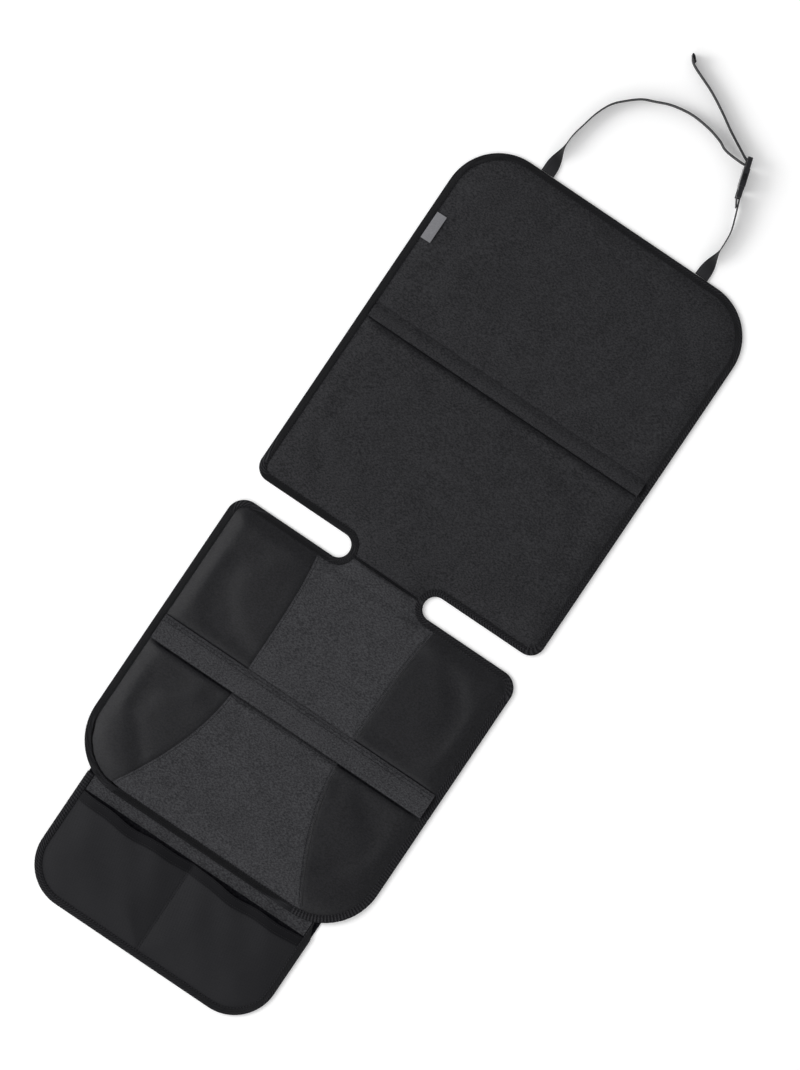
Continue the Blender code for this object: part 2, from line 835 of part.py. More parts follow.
def make_label_tab():
    """A bare label folded out from under the edge tape."""
    left = -PANEL_WIDTH / 2 + TAPE_WIDTH + GAP
    top = BACK_TOP - TAB_BELOW_TOP
    outline = [
        Vector((left, top - TAB_LENGTH)),
        Vector((left + TAB_REACH, top - TAB_LENGTH)),
        Vector((left + TAB_REACH, top)),
        Vector((left, top)),
    ]

    def low(x, y):
        return COVER_FLANGE + COVER_THICK + padded_height(x, y, [HEM_STITCH]) + 2 * GAP

    rows = [[Vector((left + TAB_REACH / 2, top - TAB_LENGTH * share)) for share in TAB_ROWS]]
    layer("label_tab", outline, low, raised(low, TAB_THICK), rows, rows, LABEL)


# Headrest strap


def smooth_route(points):
    """Points every few millimetres along a smooth curve through the given ones, closer in tight turns."""
    route = []
    padded = [2 * points[0] - points[1], *points, 2 * points[-1] - points[-2]]
    for i in range(1, len(padded) - 2):
        before, a, b, after = padded[i - 1 : i + 3]
        steps = max(1, math.ceil((b - a).length / ROUTE_STEP))
        for k in range(steps):
            t = k / steps
            route.append(
                0.5
                * (
                    2 * a
                    + (b - before) * t
                    + (2 * before - 5 * a + 4 * b - after) * t**2
                    + (3 * a - before - 3 * b + after) * t**3
                )
            )
    route.append(points[-1].copy())
    return route


def make_webbing(name, points, flat_end, bar_along):
    """Flat webbing along a route: flat where it leaves the mat, then standing on its edge, held at a buckle bar."""
    route = smooth_route([Vector(p) for p in points])
    lengths = [0.0]
    for a, b in zip(route, route[1:]):
        lengths.append(lengths[-1] + (b - a).length)
    vertices = []
    for i, place in enumerate(route):
        run = route[min(i + 1, len(route) - 1)] - route[max(i - 1, 0)]
        normal = Vector((-run.y, run.x)).normalized()
        from_mat = lengths[i] if flat_end == "start" else lengths[-1] - lengths[i]
        tilt = math.pi / 2 * (1 - smooth_step(from_mat / TWIST_LENGTH))
        from_bar = (place - buckle_place(bar_along)).length
        held = smooth_step(1 - max(from_bar - LADDER_LENGTH, 0.0) / TWIST_LENGTH)
        across = Vector((normal.x * math.sin(tilt), normal.y * math.sin(tilt), math.cos(tilt)))
        through = Vector((normal.x * math.cos(tilt), normal.y * math.cos(tilt), -math.sin(tilt)))
        standing = WEBBING_WIDTH / 2 * math.cos(tilt) + WEBBING_THICK / 2 * math.sin(tilt)
        on_mat = (TAPE_HEIGHT / 2) * (1 - smooth_step(from_mat / TWIST_LENGTH))
        centre = Vector((place.x, place.y, standing + on_mat + held * (BUCKLE_RAIL + WEBBING_SLACK)))
        for a, b in ((-1, -1), (1, -1), (1, 1), (-1, 1)):
            corner = centre + across * (a * WEBBING_WIDTH / 2) + through * (b * WEBBING_THICK / 2)
            vertices.append(tuple(corner))
    faces = [[0, 1, 2, 3]]
    count = len(route)
    for i in range(count - 1):
        for k in range(4):
            n = (k + 1) % 4
            faces.append([i * 4 + k, i * 4 + n, i * 4 + 4 + n, i * 4 + 4 + k])
    faces.append([(count - 1) * 4 + k for k in (3, 2, 1, 0)])
    return add_object(name, vertices, faces, WEBBING)


def buckle_place(along, beside=0.0):
    """A place on the floor from the buckle's own length and thickness directions."""
    direction = Vector(BUCKLE_DIRECTION).normalized()
    side = Vector((-direction.y, direction.x))
    return Vector(BUCKLE_TOP) + direction * along + side * beside


def around_bar(along, turn, first, last):
    """Points of a half turn round a buckle bar, between two angles in degrees."""
    angles = [math.radians(first + (last - first) * k / 6) for k in range(7)]
    return [buckle_place(along + turn * math.cos(a), turn * math.sin(a)) for a in angles]


def make_straps():
    turn = BAR_RADIUS + BAR_CLEARANCE + WEBBING_THICK / 2
    adjuster = [
        (-0.1276, BACK_TOP + GAP),
        (-0.1280, 0.6327),
        (-0.1285, 0.6664),
        (-0.1236, 0.6921),
        (-0.1181, 0.7142),
        (-0.1089, 0.7349),
        (-0.0960, 0.7496),
        (-0.0776, 0.7652),
        (-0.0591, 0.7735),
        (-0.0368, 0.7822),
        (-0.0073, 0.7866),
        (0.0224, 0.7840),
        (0.0444, 0.7780),
        (0.0593, 0.7712),
        (0.0851, 0.7692),
        *around_bar(SECOND_BAR, turn, 0, 180),
        (0.0851, 0.7785),
        (0.0519, 0.7965),
        (0.0259, 0.8125),
        (-0.0036, 0.8284),
        (-0.0424, 0.8447),
        (-0.0520, 0.8540),
        (-0.0535, 0.8567),
        (-0.0507, 0.8560),
        (-0.0440, 0.8495),
    ]
    make_webbing("adjuster_strap", adjuster, "start", SECOND_BAR)
    loop = SOCKET_END + SHOULDER_LENGTH + LOOP_LENGTH - 2 * BAR_RADIUS
    anchor = [
        (0.1142, 0.7137),
        (0.1096, 0.7216),
        *around_bar(loop, turn, -90, -270),
        (0.1130, 0.7222),
        (0.1203, 0.7031),
        (0.1270, 0.6831),
        (0.1288, 0.6631),
        (0.1290, 0.6438),
        (0.1283, BACK_TOP + GAP),
    ]
    make_webbing("anchor_strap", anchor, "end", loop)


# Buckle


def box_shape(shape, low, high):
    """Adds a box between two corners to a bmesh."""
    made = bmesh.ops.create_cube(shape, size=1.0)["verts"]
    for vertex in made:
        vertex.co = Vector([(a + b) / 2 + (b - a) * c for a, b, c in zip(low, high, vertex.co)])


def cutter_or_piece(name, low, high, rounded_edge=0.0):
    mesh = bpy.data.meshes.new(name)
    shape = bmesh.new()
    box_shape(shape, low, high)
    if rounded_edge:
        bmesh.ops.bevel(
            shape, geom=shape.edges, offset=rounded_edge, segments=2, profile=0.5, affect="EDGES"
        )
    shape.to_mesh(mesh)
    shape.free()
    obj = bpy.data.objects.new(name, mesh)
    bpy.context.scene.collection.objects.link(obj)
    return obj


def bar_piece(name, along, low, high):
    mesh = bpy.data.meshes.new(name)
    shape = bmesh.new()
    bmesh.ops.create_cone(
        shape, cap_ends=True, segments=12, radius1=BAR_RADIUS, radius2=BAR_RADIUS, depth=high - low
    )
    bmesh.ops.translate(shape, verts=shape.verts, vec=(along, 0, (low + high) / 2))
    shape.to_mesh(mesh)
    shape.free()
    obj = bpy.data.objects.new(name, mesh)
    bpy.context.scene.collection.objects.link(obj)
    return obj


def combine(base, others, operation):
    """Joins others to base, or cuts them from it, with Boolean modifiers."""
    for other in others:
        other.hide_render = True
        other.display_type = "WIRE"
        other.parent = base
        modifier = base.modifiers.new(other.name, "BOOLEAN")
        modifier.operation = operation
        modifier.solver = "EXACT"
        modifier.object = other


def place_buckle_half(obj):
    obj.location = (*BUCKLE_TOP, 0)
    obj.rotation_euler.z = math.atan2(BUCKLE_DIRECTION[1], BUCKLE_DIRECTION[0])
    obj.data.materials.append(BUCKLE)
    obj.data.shade_smooth()
    obj.data.set_sharp_from_angle(angle=math.radians(35))


BUCKLE_WIDTH = WEBBING_WIDTH + 2 * (BUCKLE_RAIL + WEBBING_SLACK)
SOCKET_END = LADDER_LENGTH + SOCKET_LENGTH


def make_buckle_socket():
    """Ladder lock for the long strap, and a socket with side windows."""
    half = BUCKLE_HALF_THICK
    socket = cutter_or_piece(
        "buckle_socket", (LADDER_LENGTH - JOINT_DEPTH, -half, 0), (SOCKET_END, half, BUCKLE_WIDTH), SOFT_EDGE
    )
    rail_half = half * RAIL_SHARE
    pieces = []
    for name, low in (("socket_rail_low", 0), ("socket_rail_high", BUCKLE_WIDTH - BUCKLE_RAIL)):
        start, end = (0, -rail_half, low), (LADDER_LENGTH, rail_half, low + BUCKLE_RAIL)
        pieces.append(cutter_or_piece(name, start, end, SOFT_EDGE))
    inset = BUCKLE_RAIL / 2
    for name, along in (("ladder_bar_outer", FIRST_BAR), ("ladder_bar_inner", SECOND_BAR)):
        pieces.append(bar_piece(name, along, inset, BUCKLE_WIDTH - inset))
    combine(socket, pieces, "UNION")
    wall = SOCKET_WALL
    cavity = cutter_or_piece(
        "socket_cavity",
        (LADDER_LENGTH + 2 * wall, -half + wall, BUCKLE_RAIL),
        (SOCKET_END + CUT_PAST_END, half - wall, BUCKLE_WIDTH - BUCKLE_RAIL),
    )
    window_start = LADDER_LENGTH + 3 * wall
    windows = [
        cutter_or_piece(
            name,
            (window_start, -half + wall, low),
            (window_start + WINDOW_LENGTH, half - wall, low + 2 * BUCKLE_RAIL),
        )
        for name, low in (
            ("socket_window_low", -BUCKLE_RAIL),
            ("socket_window_high", BUCKLE_WIDTH - BUCKLE_RAIL),
        )
    ]
    combine(socket, [cavity, *windows], "DIFFERENCE")
    place_buckle_half(socket)


def make_buckle_plug():
    """Shoulder, two prongs and a guide that reach into the socket, and a loop for the short strap."""
    half = BUCKLE_HALF_THICK
    start = SOCKET_END + GAP
    shoulder_end = start + SHOULDER_LENGTH
    shoulder_half = half * SHOULDER_SHARE
    plug = cutter_or_piece(
        "buckle_plug", (start, -shoulder_half, 0), (shoulder_end, shoulder_half, BUCKLE_WIDTH), SOFT_EDGE
    )
    prong_half = half - SOCKET_WALL - 2 * GAP
    tip = LADDER_LENGTH + 2 * SOCKET_WALL + 2 * GAP
    middle = BUCKLE_WIDTH / 2
    prong_low = BUCKLE_RAIL + 2 * GAP
    rows = (
        ("prong_low", prong_low, prong_low + PRONG_WIDTH),
        ("plug_guide", middle - PRONG_WIDTH / 3, middle + PRONG_WIDTH / 3),
        ("prong_high", BUCKLE_WIDTH - prong_low - PRONG_WIDTH, BUCKLE_WIDTH - prong_low),
    )
    pieces = [
        cutter_or_piece(name, (tip, -prong_half, low), (shoulder_end - PRONG_DEPTH, prong_half, high))
        for name, low, high in rows
    ]
    loop_end = shoulder_end + LOOP_LENGTH
    rail_half = half * RAIL_SHARE
    for name, low in (("loop_rail_low", 0), ("loop_rail_high", BUCKLE_WIDTH - BUCKLE_RAIL)):
        begin, end = (shoulder_end - JOINT_DEPTH, -rail_half, low), (loop_end, rail_half, low + BUCKLE_RAIL)
        pieces.append(cutter_or_piece(name, begin, end, SOFT_EDGE))
    inset = BUCKLE_RAIL / 2
    loop_bar = SOCKET_END + SHOULDER_LENGTH + LOOP_LENGTH - 2 * BAR_RADIUS
    pieces.append(bar_piece("loop_bar", loop_bar, inset, BUCKLE_WIDTH - inset))
    combine(plug, pieces, "UNION")
    place_buckle_half(plug)


for old in list(bpy.data.objects):
    bpy.data.objects.remove(old, do_unlink=True)

BLACK_CLOTH = material("black_woven_cloth", (0.020, 0.020, 0.022), 0.85)
GREY_CLOTH = material("charcoal_woven_cloth", (0.034, 0.034, 0.037), 0.85)
PATCH_CLOTH = material("black_patch_cloth", (0.014, 0.014, 0.015), 0.50)
TAPE = material("black_ribbed_tape", (0.016, 0.016, 0.018), 0.75)
FOAM = material("grey_foam", (0.18, 0.18, 0.19), 0.95)
BACKING = material("anti_slip_backing", (0.030, 0.030, 0.032), 0.70)
POCKET_LINING = material("pocket_lining", (0.024, 0.024, 0.026), 0.85)
MESH_CLOTH = material("black_mesh_cloth", (0.012, 0.012, 0.013), 0.60)
LABEL = material("grey_label_cloth", (0.14, 0.14, 0.14), 0.70)
WEBBING = material("black_webbing", (0.016, 0.016, 0.017), 0.70)
BUCKLE = material("black_buckle_plastic", (0.012, 0.012, 0.013), 0.35)

TAPE_INNER = spaced(mat_outline(TAPE_WIDTH + GAP))

make_back()
make_seat()
OUTER_CORNERS = mat_corners(0)
make_tape(
    "mat_edge_tape",
    lambda inset: matched_line(OUTER_CORNERS, mat_corners(inset)),
    tape_section(TAPE_WIDTH, TAPE_HEIGHT),
    seat_lift,
    closed=True,
)
make_pocket()
make_label_tab()
make_straps()
make_buckle_socket()
make_buckle_plug()
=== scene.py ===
import math

import bpy
import numpy as np
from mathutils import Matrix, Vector, noise
from mathutils.bvhtree import BVHTree
from mathutils.geometry import delaunay_2d_cdt


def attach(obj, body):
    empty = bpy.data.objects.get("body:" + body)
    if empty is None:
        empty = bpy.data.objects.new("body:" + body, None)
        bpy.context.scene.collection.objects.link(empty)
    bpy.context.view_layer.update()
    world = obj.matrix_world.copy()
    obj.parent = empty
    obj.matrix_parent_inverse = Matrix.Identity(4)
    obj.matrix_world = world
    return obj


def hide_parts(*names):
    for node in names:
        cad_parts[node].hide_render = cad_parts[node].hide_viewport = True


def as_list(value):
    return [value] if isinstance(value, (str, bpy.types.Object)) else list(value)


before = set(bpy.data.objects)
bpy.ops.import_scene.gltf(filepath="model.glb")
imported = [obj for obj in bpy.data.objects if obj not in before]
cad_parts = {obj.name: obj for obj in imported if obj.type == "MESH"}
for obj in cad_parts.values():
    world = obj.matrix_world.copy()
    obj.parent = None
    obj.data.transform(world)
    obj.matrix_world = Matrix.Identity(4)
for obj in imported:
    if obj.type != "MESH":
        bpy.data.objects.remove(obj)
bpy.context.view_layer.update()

# Sizes repeated from part.py, in metres
PANEL_WIDTH, NECK_WIDTH, POCKET_WIDTH = 0.470, 0.126, 0.386
BACK_LENGTH, SLOT_HEIGHT, SEAT_LENGTH, POCKET_DROP = 0.568, 0.035, 0.441, 0.172
SLOT_ROUNDNESS = 0.98
BACK_TOP_RADIUS, BACK_FOOT_RADIUS = 0.080, 0.022
SEAT_REAR_RADIUS, SEAT_FRONT_RADIUS, POCKET_RADIUS = 0.026, 0.087, 0.066
GAP = 0.0003
CLOTH = 0.0008
MESH_THICK = 0.0006
TAPE_WIDTH, TAPE_THICK = 0.0105, 0.0008
CROWN = 0.0050
RIM_REACH = 0.006
HEM_THICK, FOLD_SWELL, TUCK = 0.0019, 0.5, 0.008
FOAM_SETBACK, FOAM_CLEARANCE = 0.008, 0.0014
SEAM_HALF = 0.088
REAR_FLARE, REAR_FLARE_POWER = 0.011, 4
FRONT_FLARE, FRONT_FLARE_POWER, FRONT_FLARE_LIMIT = 0.070, 1.75, 1.2
POCKET_TUCK, UPPER_BAND_DEPTH, MOUTH_GAP = 0.0195, 0.017, 0.0065
HEM_TAPE_DEPTH, HEM_TAPE_THICK = 0.015, 0.0010
POCKET_BULGE, POCKET_BULGE_REACH = 0.0062, 0.050
LIFT_MARGIN, LIFT_RAMP = 0.004, 0.060
TAB_REACH, TAB_LENGTH, TAB_BELOW_TOP, TAB_THICK = 0.0155, 0.042, 0.128, 0.0006
WEBBING_WIDTH, WEBBING_THICK, TWIST_LENGTH = 0.020, 0.0012, 0.050
BUCKLE_TOP, BUCKLE_DIRECTION = (0.0918, 0.7818), (0.0172, -0.0566)
BUCKLE_RAIL, WEBBING_SLACK = 0.003, 0.001
BAR_RADIUS, BAR_CLEARANCE = 0.0014, 0.0004
LADDER_LENGTH, SECOND_BAR, SOCKET_LENGTH = 0.018, 0.009, 0.024
SHOULDER_LENGTH, LOOP_LENGTH = 0.0045, 0.0115

# Where things lie along the mat
POCKET_END = -(BACK_LENGTH + SLOT_HEIGHT + SEAT_LENGTH + POCKET_DROP) / 2
SEAT_FRONT = POCKET_END + POCKET_DROP
SEAT_TOP = SEAT_FRONT + SEAT_LENGTH
BACK_FOOT = SEAT_TOP + SLOT_HEIGHT
BACK_TOP = BACK_FOOT + BACK_LENGTH
CREASE = SEAT_TOP + SLOT_HEIGHT / 2
HEM_EDGE = BACK_TOP - 0.300
HEM_STITCH = HEM_EDGE + 0.023
BAND_TOP = SEAT_TOP - 0.195
BAND_EDGE = BAND_TOP - 0.038
MOUTH = SEAT_FRONT - UPPER_BAND_DEPTH
HEM_TAPE_TOP = MOUTH - MOUTH_GAP
HEM_TAPE_FOOT = HEM_TAPE_TOP - HEM_TAPE_DEPTH

# Heights at the mat's edge
BACKING_RISE = TAPE_THICK + GAP
COVER_FLANGE = BACKING_RISE + CLOTH + GAP
TAPE_HEIGHT = COVER_FLANGE + CLOTH + GAP + TAPE_THICK
HEM_LOW = COVER_FLANGE + CLOTH + GAP
POCKET_LIFT = 2 * CLOTH + 2 * GAP
MESH_FLANGE = BACKING_RISE + CLOTH + GAP
SIDE_INSIDE_TAPE = PANEL_WIDTH / 2 - TAPE_WIDTH - GAP

# Mesh steps, and the spacing of the rows of a triangular lattice
FINE, COARSE = 0.0045, 0.008
ROW_SHARE = 0.866


# Outlines


def rounded(corners, closed, arc_step, spacing):
    """Points round (x, y, radius) corners, with as many points whatever inset the corners have."""
    stretches = []
    count = len(corners)
    for i, (x, y, radius) in enumerate(corners):
        corner = Vector((x, y))
        if not closed and i in (0, count - 1):
            stretches.append([corner])
            continue
        before = (Vector(corners[i - 1][:2]) - corner).normalized()
        after = (Vector(corners[(i + 1) % count][:2]) - corner).normalized()
        half = before.angle(after) / 2
        centre = corner + (before + after).normalized() * radius / math.sin(half)
        start = corner + before * radius / math.tan(half) - centre
        turn = (math.pi - 2 * half) * (1 if before.cross(after) < 0 else -1)
        steps = max(3, round(abs(turn) / arc_step))
        arc = []
        for k in range(steps + 1):
            a = turn * k / steps
            c, s = math.cos(a), math.sin(a)
            arc.append(centre + Vector((c * start.x - s * start.y, s * start.x + c * start.y)))
        stretches.append(arc)
    points = []
    for i, arc in enumerate(stretches):
        points += arc
        if not closed and i == count - 1:
            break
        a, b = arc[-1], stretches[(i + 1) % count][0]
        nominal = Vector(corners[(i + 1) % count][:2]) - Vector(corners[i][:2])
        steps = max(1, math.ceil(nominal.length / spacing))
        points += [a.lerp(b, k / steps) for k in range(1, steps)]
    return np.array([tuple(p) for p in points])


def mat_corners(inset):
    side, neck = PANEL_WIDTH / 2 - inset, NECK_WIDTH / 2 - inset
    slot_radius = SLOT_HEIGHT / 2 * SLOT_ROUNDNESS + inset
    right = [
        (side, SEAT_FRONT + inset, SEAT_FRONT_RADIUS - inset),
        (side, SEAT_TOP - inset, SEAT_REAR_RADIUS - inset),
        (neck, SEAT_TOP - inset, slot_radius),
        (neck, BACK_FOOT + inset, slot_radius),
        (side, BACK_FOOT + inset, BACK_FOOT_RADIUS - inset),
        (side, BACK_TOP - inset, BACK_TOP_RADIUS - inset),
    ]
    return right + [(-x, y, radius) for x, y, radius in reversed(right)]


def mat_ring(inset, arc_step=math.radians(5), spacing=0.006):
    return rounded(mat_corners(inset), True, arc_step, spacing)


def pocket_corners(inset, top):
    side, foot, radius = POCKET_WIDTH / 2 - inset, POCKET_END + inset, POCKET_RADIUS - inset
    return [(-side, top, 0), (-side, foot, radius), (side, foot, radius), (side, top, 0)]


def pocket_line(inset, top, arc_step=math.radians(5), spacing=0.006):
    return rounded(pocket_corners(inset, top), False, arc_step, spacing)


def clipped(points, side_of):
    """The part of an outline where side_of(point) is positive."""
    kept = []
    for i in range(len(points)):
        a, b = points[i - 1], points[i]
        at_a, at_b = side_of(a), side_of(b)
        if (at_a > 0) != (at_b > 0):
            low, high = (0.0, 1.0) if at_a > 0 else (1.0, 0.0)
            for _ in range(30):
                middle = (low + high) / 2
                if side_of(a + (b - a) * middle) > 0:
                    low = middle
                else:
                    high = middle
            kept.append(a + (b - a) * low)
        if at_b > 0:
            kept.append(b)
    return np.array(kept)


def rectangle(left, right, low, high):
    return np.array([(left, low), (right, low), (right, high), (left, high)])


def band_of(points, low, high):
    return clipped(clipped(points, lambda p: p[1] - low), lambda p: high - p[1])


def rear_half(y):
    along = np.clip((y - BAND_TOP) / (SEAT_TOP - BAND_TOP), 0, 1)
    return SEAM_HALF + REAR_FLARE * along**REAR_FLARE_POWER


def front_half(y):
    along = np.clip((BAND_EDGE - y) / (BAND_EDGE - SEAT_FRONT - TAPE_WIDTH), 0, FRONT_FLARE_LIMIT)
    return SEAM_HALF + FRONT_FLARE * along**FRONT_FLARE_POWER


def side_patch(points, half_width, sign):
    cut = clipped(points, lambda p: sign * p[0] - half_width(p[1]) - GAP / 2)
    return follow_seam(cut, half_width, sign)


def centre_patch(points, half_width):
    for sign in (-1, 1):
        points = clipped(points, lambda p: half_width(p[1]) - sign * p[0] - GAP / 2)
        points = follow_seam(points, half_width, sign)
    return points


def follow_seam(points, half_width, sign):
    """Adds points along the one stretch that runs on the seam, so that it follows the seam's curve."""
    result = []
    for i in range(len(points)):
        a, b = points[i - 1], points[i]
        off_a = sign * a[0] - half_width(a[1])
        off_b = sign * b[0] - half_width(b[1])
        on_seam = abs(off_a) < GAP and abs(off_b) < GAP
        steps = math.ceil(abs(b[1] - a[1]) / FINE) if on_seam else 1
        for k in range(1, steps):
            y = a[1] + (b[1] - a[1]) * k / steps
            result.append((sign * (half_width(y) + off_a), y))
        result.append(tuple(b))
    return np.array(result)


def spaced(points, spacing, closed=True):
    """The same outline with points added along its long stretches."""
    result = []
    count = len(points)
    for i in range(count if closed else count - 1):
        a, b = points[i], points[(i + 1) % count]
        steps = max(1, math.ceil(np.linalg.norm(b - a) / spacing))
        result += [a + (b - a) * k / steps for k in range(steps)]
    if not closed:
        result.append(points[-1])
    return np.array(result)


def ring_distance(points, ring, closed=True):
    """Distance from each point to an outline."""
    a = ring if closed else ring[:-1]
    b = np.roll(ring, -1, axis=0) if closed else ring[1:]
    run = b - a
    square = np.maximum((run**2).sum(1), 1e-12)
    best = np.empty(len(points))
    for start in range(0, len(points), 2000):
        p = points[start : start + 2000, None, :] - a
        along = np.clip((p * run).sum(2) / square, 0, 1)
        best[start : start + 2000] = np.linalg.norm(p - along[..., None] * run, axis=2).min(1)
    return best


def within(points, ring):
    """Whether each point is inside an outline."""
    x, y = points[:, :1], points[:, 1:]
    x1, y1 = ring.T
    x2, y2 = np.roll(ring, -1, 0).T
    crosses = (y1 > y) != (y2 > y)
    at = x1 + (y - y1) * (x2 - x1) / np.where(y1 == y2, 1e-12, y2 - y1)
    return (crosses & (x < at)).sum(1) % 2 == 1


# Heights


def raised(height, amount):
    return lambda points: height(points) + amount


def smooth_step(value):
    value = np.clip(value, 0, 1)
    return value * value * (3 - 2 * value)


# Where the pocket's tape meets the seat's rounded front corners, and how far the pocket is tucked in there
CORNER_ACROSS = POCKET_WIDTH / 2 - TAPE_WIDTH - PANEL_WIDTH / 2 + SEAT_FRONT_RADIUS
CORNER_RISE = SEAT_FRONT_RADIUS - math.sqrt(SEAT_FRONT_RADIUS**2 - CORNER_ACROSS**2)
POCKET_TAPE_TOP = SEAT_FRONT + CORNER_RISE - 2 * GAP
POCKET_TUCK_TOP = POCKET_TAPE_TOP + POCKET_TUCK
LIFT_START = POCKET_TUCK_TOP + LIFT_MARGIN
TAPE_INNER = mat_ring(TAPE_WIDTH + GAP)
POCKET_RIM = pocket_line(TAPE_WIDTH + GAP, POCKET_TUCK_TOP + TAPE_WIDTH)


def seat_lift(y):
    """How far the seat's front edge is held up by the pocket cloth tucked under it."""
    return POCKET_LIFT * smooth_step((LIFT_START + LIFT_RAMP - y) / LIFT_RAMP)


EDGE_REACH = 0.024
NECK_LIP = CREASE - 0.0001
# Soft rolls of the folded cloth: rise of the hem's and of the band's, ridges along the band, unevenness
HEM_RISE, BAND_RISE, BAND_RIDGE, FOLD_UNEVEN = 0.0026, 0.0022, 0.0005, 0.0002
# Each fold line: the flat floor beside it, how far the padding takes to rise from there, and the share of
# the padding that is still left on the line itself
FOLDS = {
    HEM_STITCH: (0.0, 0.005, 0.55),
    HEM_EDGE: (0.0040, 0.0100, 0.0),
    BAND_TOP: (0.0, 0.008, 0.0),
    BAND_EDGE: (0.0020, 0.0075, 0.0),
    NECK_LIP: (0.0002, 0.0030, 0.0),
    CREASE: (0.0042, 0.0040, 0.0),
}
STEEP_ROWS = (0.0006, 0.0018, 0.0032, 0.0055)


def edge_share(points):
    """Share of the padding's rise, from 0 at the edge tape to 1 well inside it."""
    share = np.sin(np.minimum(ring_distance(points, TAPE_INNER) / EDGE_REACH, 1.0) * math.pi / 2)
    share[~within(points, TAPE_INNER)] = 0.0
    return share


def crown(points, pinches):
    """Rise of a padded cover above its flange: soft at the mat's edge, steep beside a fold."""
    share = edge_share(points)
    for line in pinches:
        floor, reach, left = FOLDS[line]
        beside = np.clip((np.abs(points[:, 1] - line) - floor) / reach, 0.0, 1.0)
        share *= left + (1 - left) * np.sqrt(1 - (1 - beside) ** 2)
    return CROWN * share


def wobble(points, size, seed):
    """Smooth seeded unevenness, from -1 to 1, with bumps about as wide as size."""
    shift = Vector((seed * 7.3, seed * 3.1, seed * 1.7))
    return np.array([noise.noise(Vector((x / size, y / size, 0)) + shift) for x, y in points])


# Meshes


def fill(outline, step):
    """Triangles that fill an outline evenly: its own points first, then a lattice inside it."""
    low, high = outline.min(0), outline.max(0)
    offsets = [0.0, *STEEP_ROWS, *(-row for row in STEEP_ROWS)]
    steep = sorted(line + offset for line in FOLDS for offset in offsets)
    steep = [y for y in steep if low[1] + GAP < y < high[1] - GAP]
    rows = [
        y
        for y in np.arange(low[1] + step / 2, high[1], step * ROW_SHARE)
        if all(abs(y - near) > step * 0.45 for near in steep)
    ]
    lattice = []
    for i, y in enumerate([*rows, *steep]):
        xs = np.arange(low[0] + (i % 2) * step / 2 + step / 2, high[0], step)
        clear = step * 0.55 if i < len(rows) else GAP
        lattice += [(x, y, clear) for x in xs]
    lattice = np.array(lattice)
    lattice = lattice[within(lattice[:, :2], outline)]
    lattice = lattice[ring_distance(lattice[:, :2], outline) > lattice[:, 2]][:, :2]
    places = np.vstack([outline, lattice])
    count = len(outline)
    edges = [(i, (i + 1) % count) for i in range(count)]
    found = delaunay_2d_cdt([Vector(p) for p in places], edges, [list(range(count))], 1, 1e-6)
    points = np.array([tuple(p) for p in found[0]])
    return points, [tuple(f) for f in found[2]]


def new_object(name, vertices, faces, finish, angle=40):
    mesh = bpy.data.meshes.new(name)
    mesh.from_pydata([tuple(v) for v in vertices], [], faces)
    mesh.validate()
    mesh.shade_smooth()
    mesh.set_sharp_from_angle(angle=math.radians(angle))
    mesh.materials.append(finish)
    obj = bpy.data.objects.new(name, mesh)
    bpy.context.scene.collection.objects.link(obj)
    return obj


def dress(obj, slot, *nodes):
    """Makes a piece ride on the mat and stand for its CAD nodes, whose parts it hides; the slot is not used.
    """
    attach(obj, "root")
    if nodes:
        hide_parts(*nodes)
    return obj


def cloth_layer(name, outline, step, top, low, finish):
    """A closed layer of cloth or foam with the given outline between two heights."""
    points, triangles = fill(spaced(outline, step), step)
    upper, lower = top(points), low(points)
    count = len(points)
    vertices = np.vstack([np.column_stack([points, upper]), np.column_stack([points, lower])])
    edges = dict.fromkeys(edge for a, b, c in triangles for edge in ((a, b), (b, c), (c, a)))
    faces = list(triangles)
    faces += [(c + count, b + count, a + count) for a, b, c in triangles]
    faces += [(b, a, a + count, b + count) for a, b in edges if (b, a) not in edges]
    return new_object(name, vertices, faces, finish)


def tube(rings, width, first=0, closed=False):
    """Faces between rings of width points each, from the vertex numbered first, with caps unless closed."""
    faces = []
    for i in range(rings if closed else rings - 1):
        a, b = first + i * width, first + (i + 1) % rings * width
        for k in range(width):
            n = (k + 1) % width
            faces.append((a + k, b + k, b + n, a + n))
    if not closed:
        last = first + (rings - 1) * width
        faces += [tuple(range(first, first + width)), tuple(reversed(range(last, last + width)))]
    return faces


def ribbed_tube(name, vertices, along, around, finish, closed=False, flipped=False):
    """A tube whose ribs are laid out in its UV map, by the distances along and around it."""
    width = len(around) - 1
    faces = tube(len(vertices) // width, width, closed=closed)
    uvs = [
        [(u0, v0), (u1, v0), (u1, v1), (u0, v1)]
        for u0, u1 in zip(along, along[1:])
        for v0, v1 in zip(around, around[1:])
    ]
    if not closed:
        uvs += [[(0.0, 0.0)] * width] * 2
    if flipped:
        faces, uvs = [face[::-1] for face in faces], [corners[::-1] for corners in uvs]
    obj = new_object(name, vertices, faces, finish, 50)
    obj.data.uv_layers.new(name="UVMap").data.foreach_set("uv", np.concatenate(uvs).ravel())
    return obj


def swept(name, lines, section_heights, lift, closed, finish):
    """A folded tape: one line of points for each corner of its section."""
    count, width = len(lines[0]), len(lines)
    vertices = []
    for i in range(count):
        vertices += [(*line[i], z + lift(line[i][1])) for line, z in zip(lines, section_heights)]
    steps = np.linalg.norm(np.roll(lines[0], -1, axis=0) - lines[0], axis=1)
    along = np.concatenate([[0.0], np.cumsum(steps)])
    around = [0.0]
    for k in range(width):
        n = (k + 1) % width
        side = np.linalg.norm(lines[k][0] - lines[n][0]) + abs(section_heights[k] - section_heights[n])
        around.append(around[-1] + side)
    if not closed:
        along = along[:count]
    return ribbed_tube(name, vertices, along, around, finish, closed, flipped=True)


# Materials


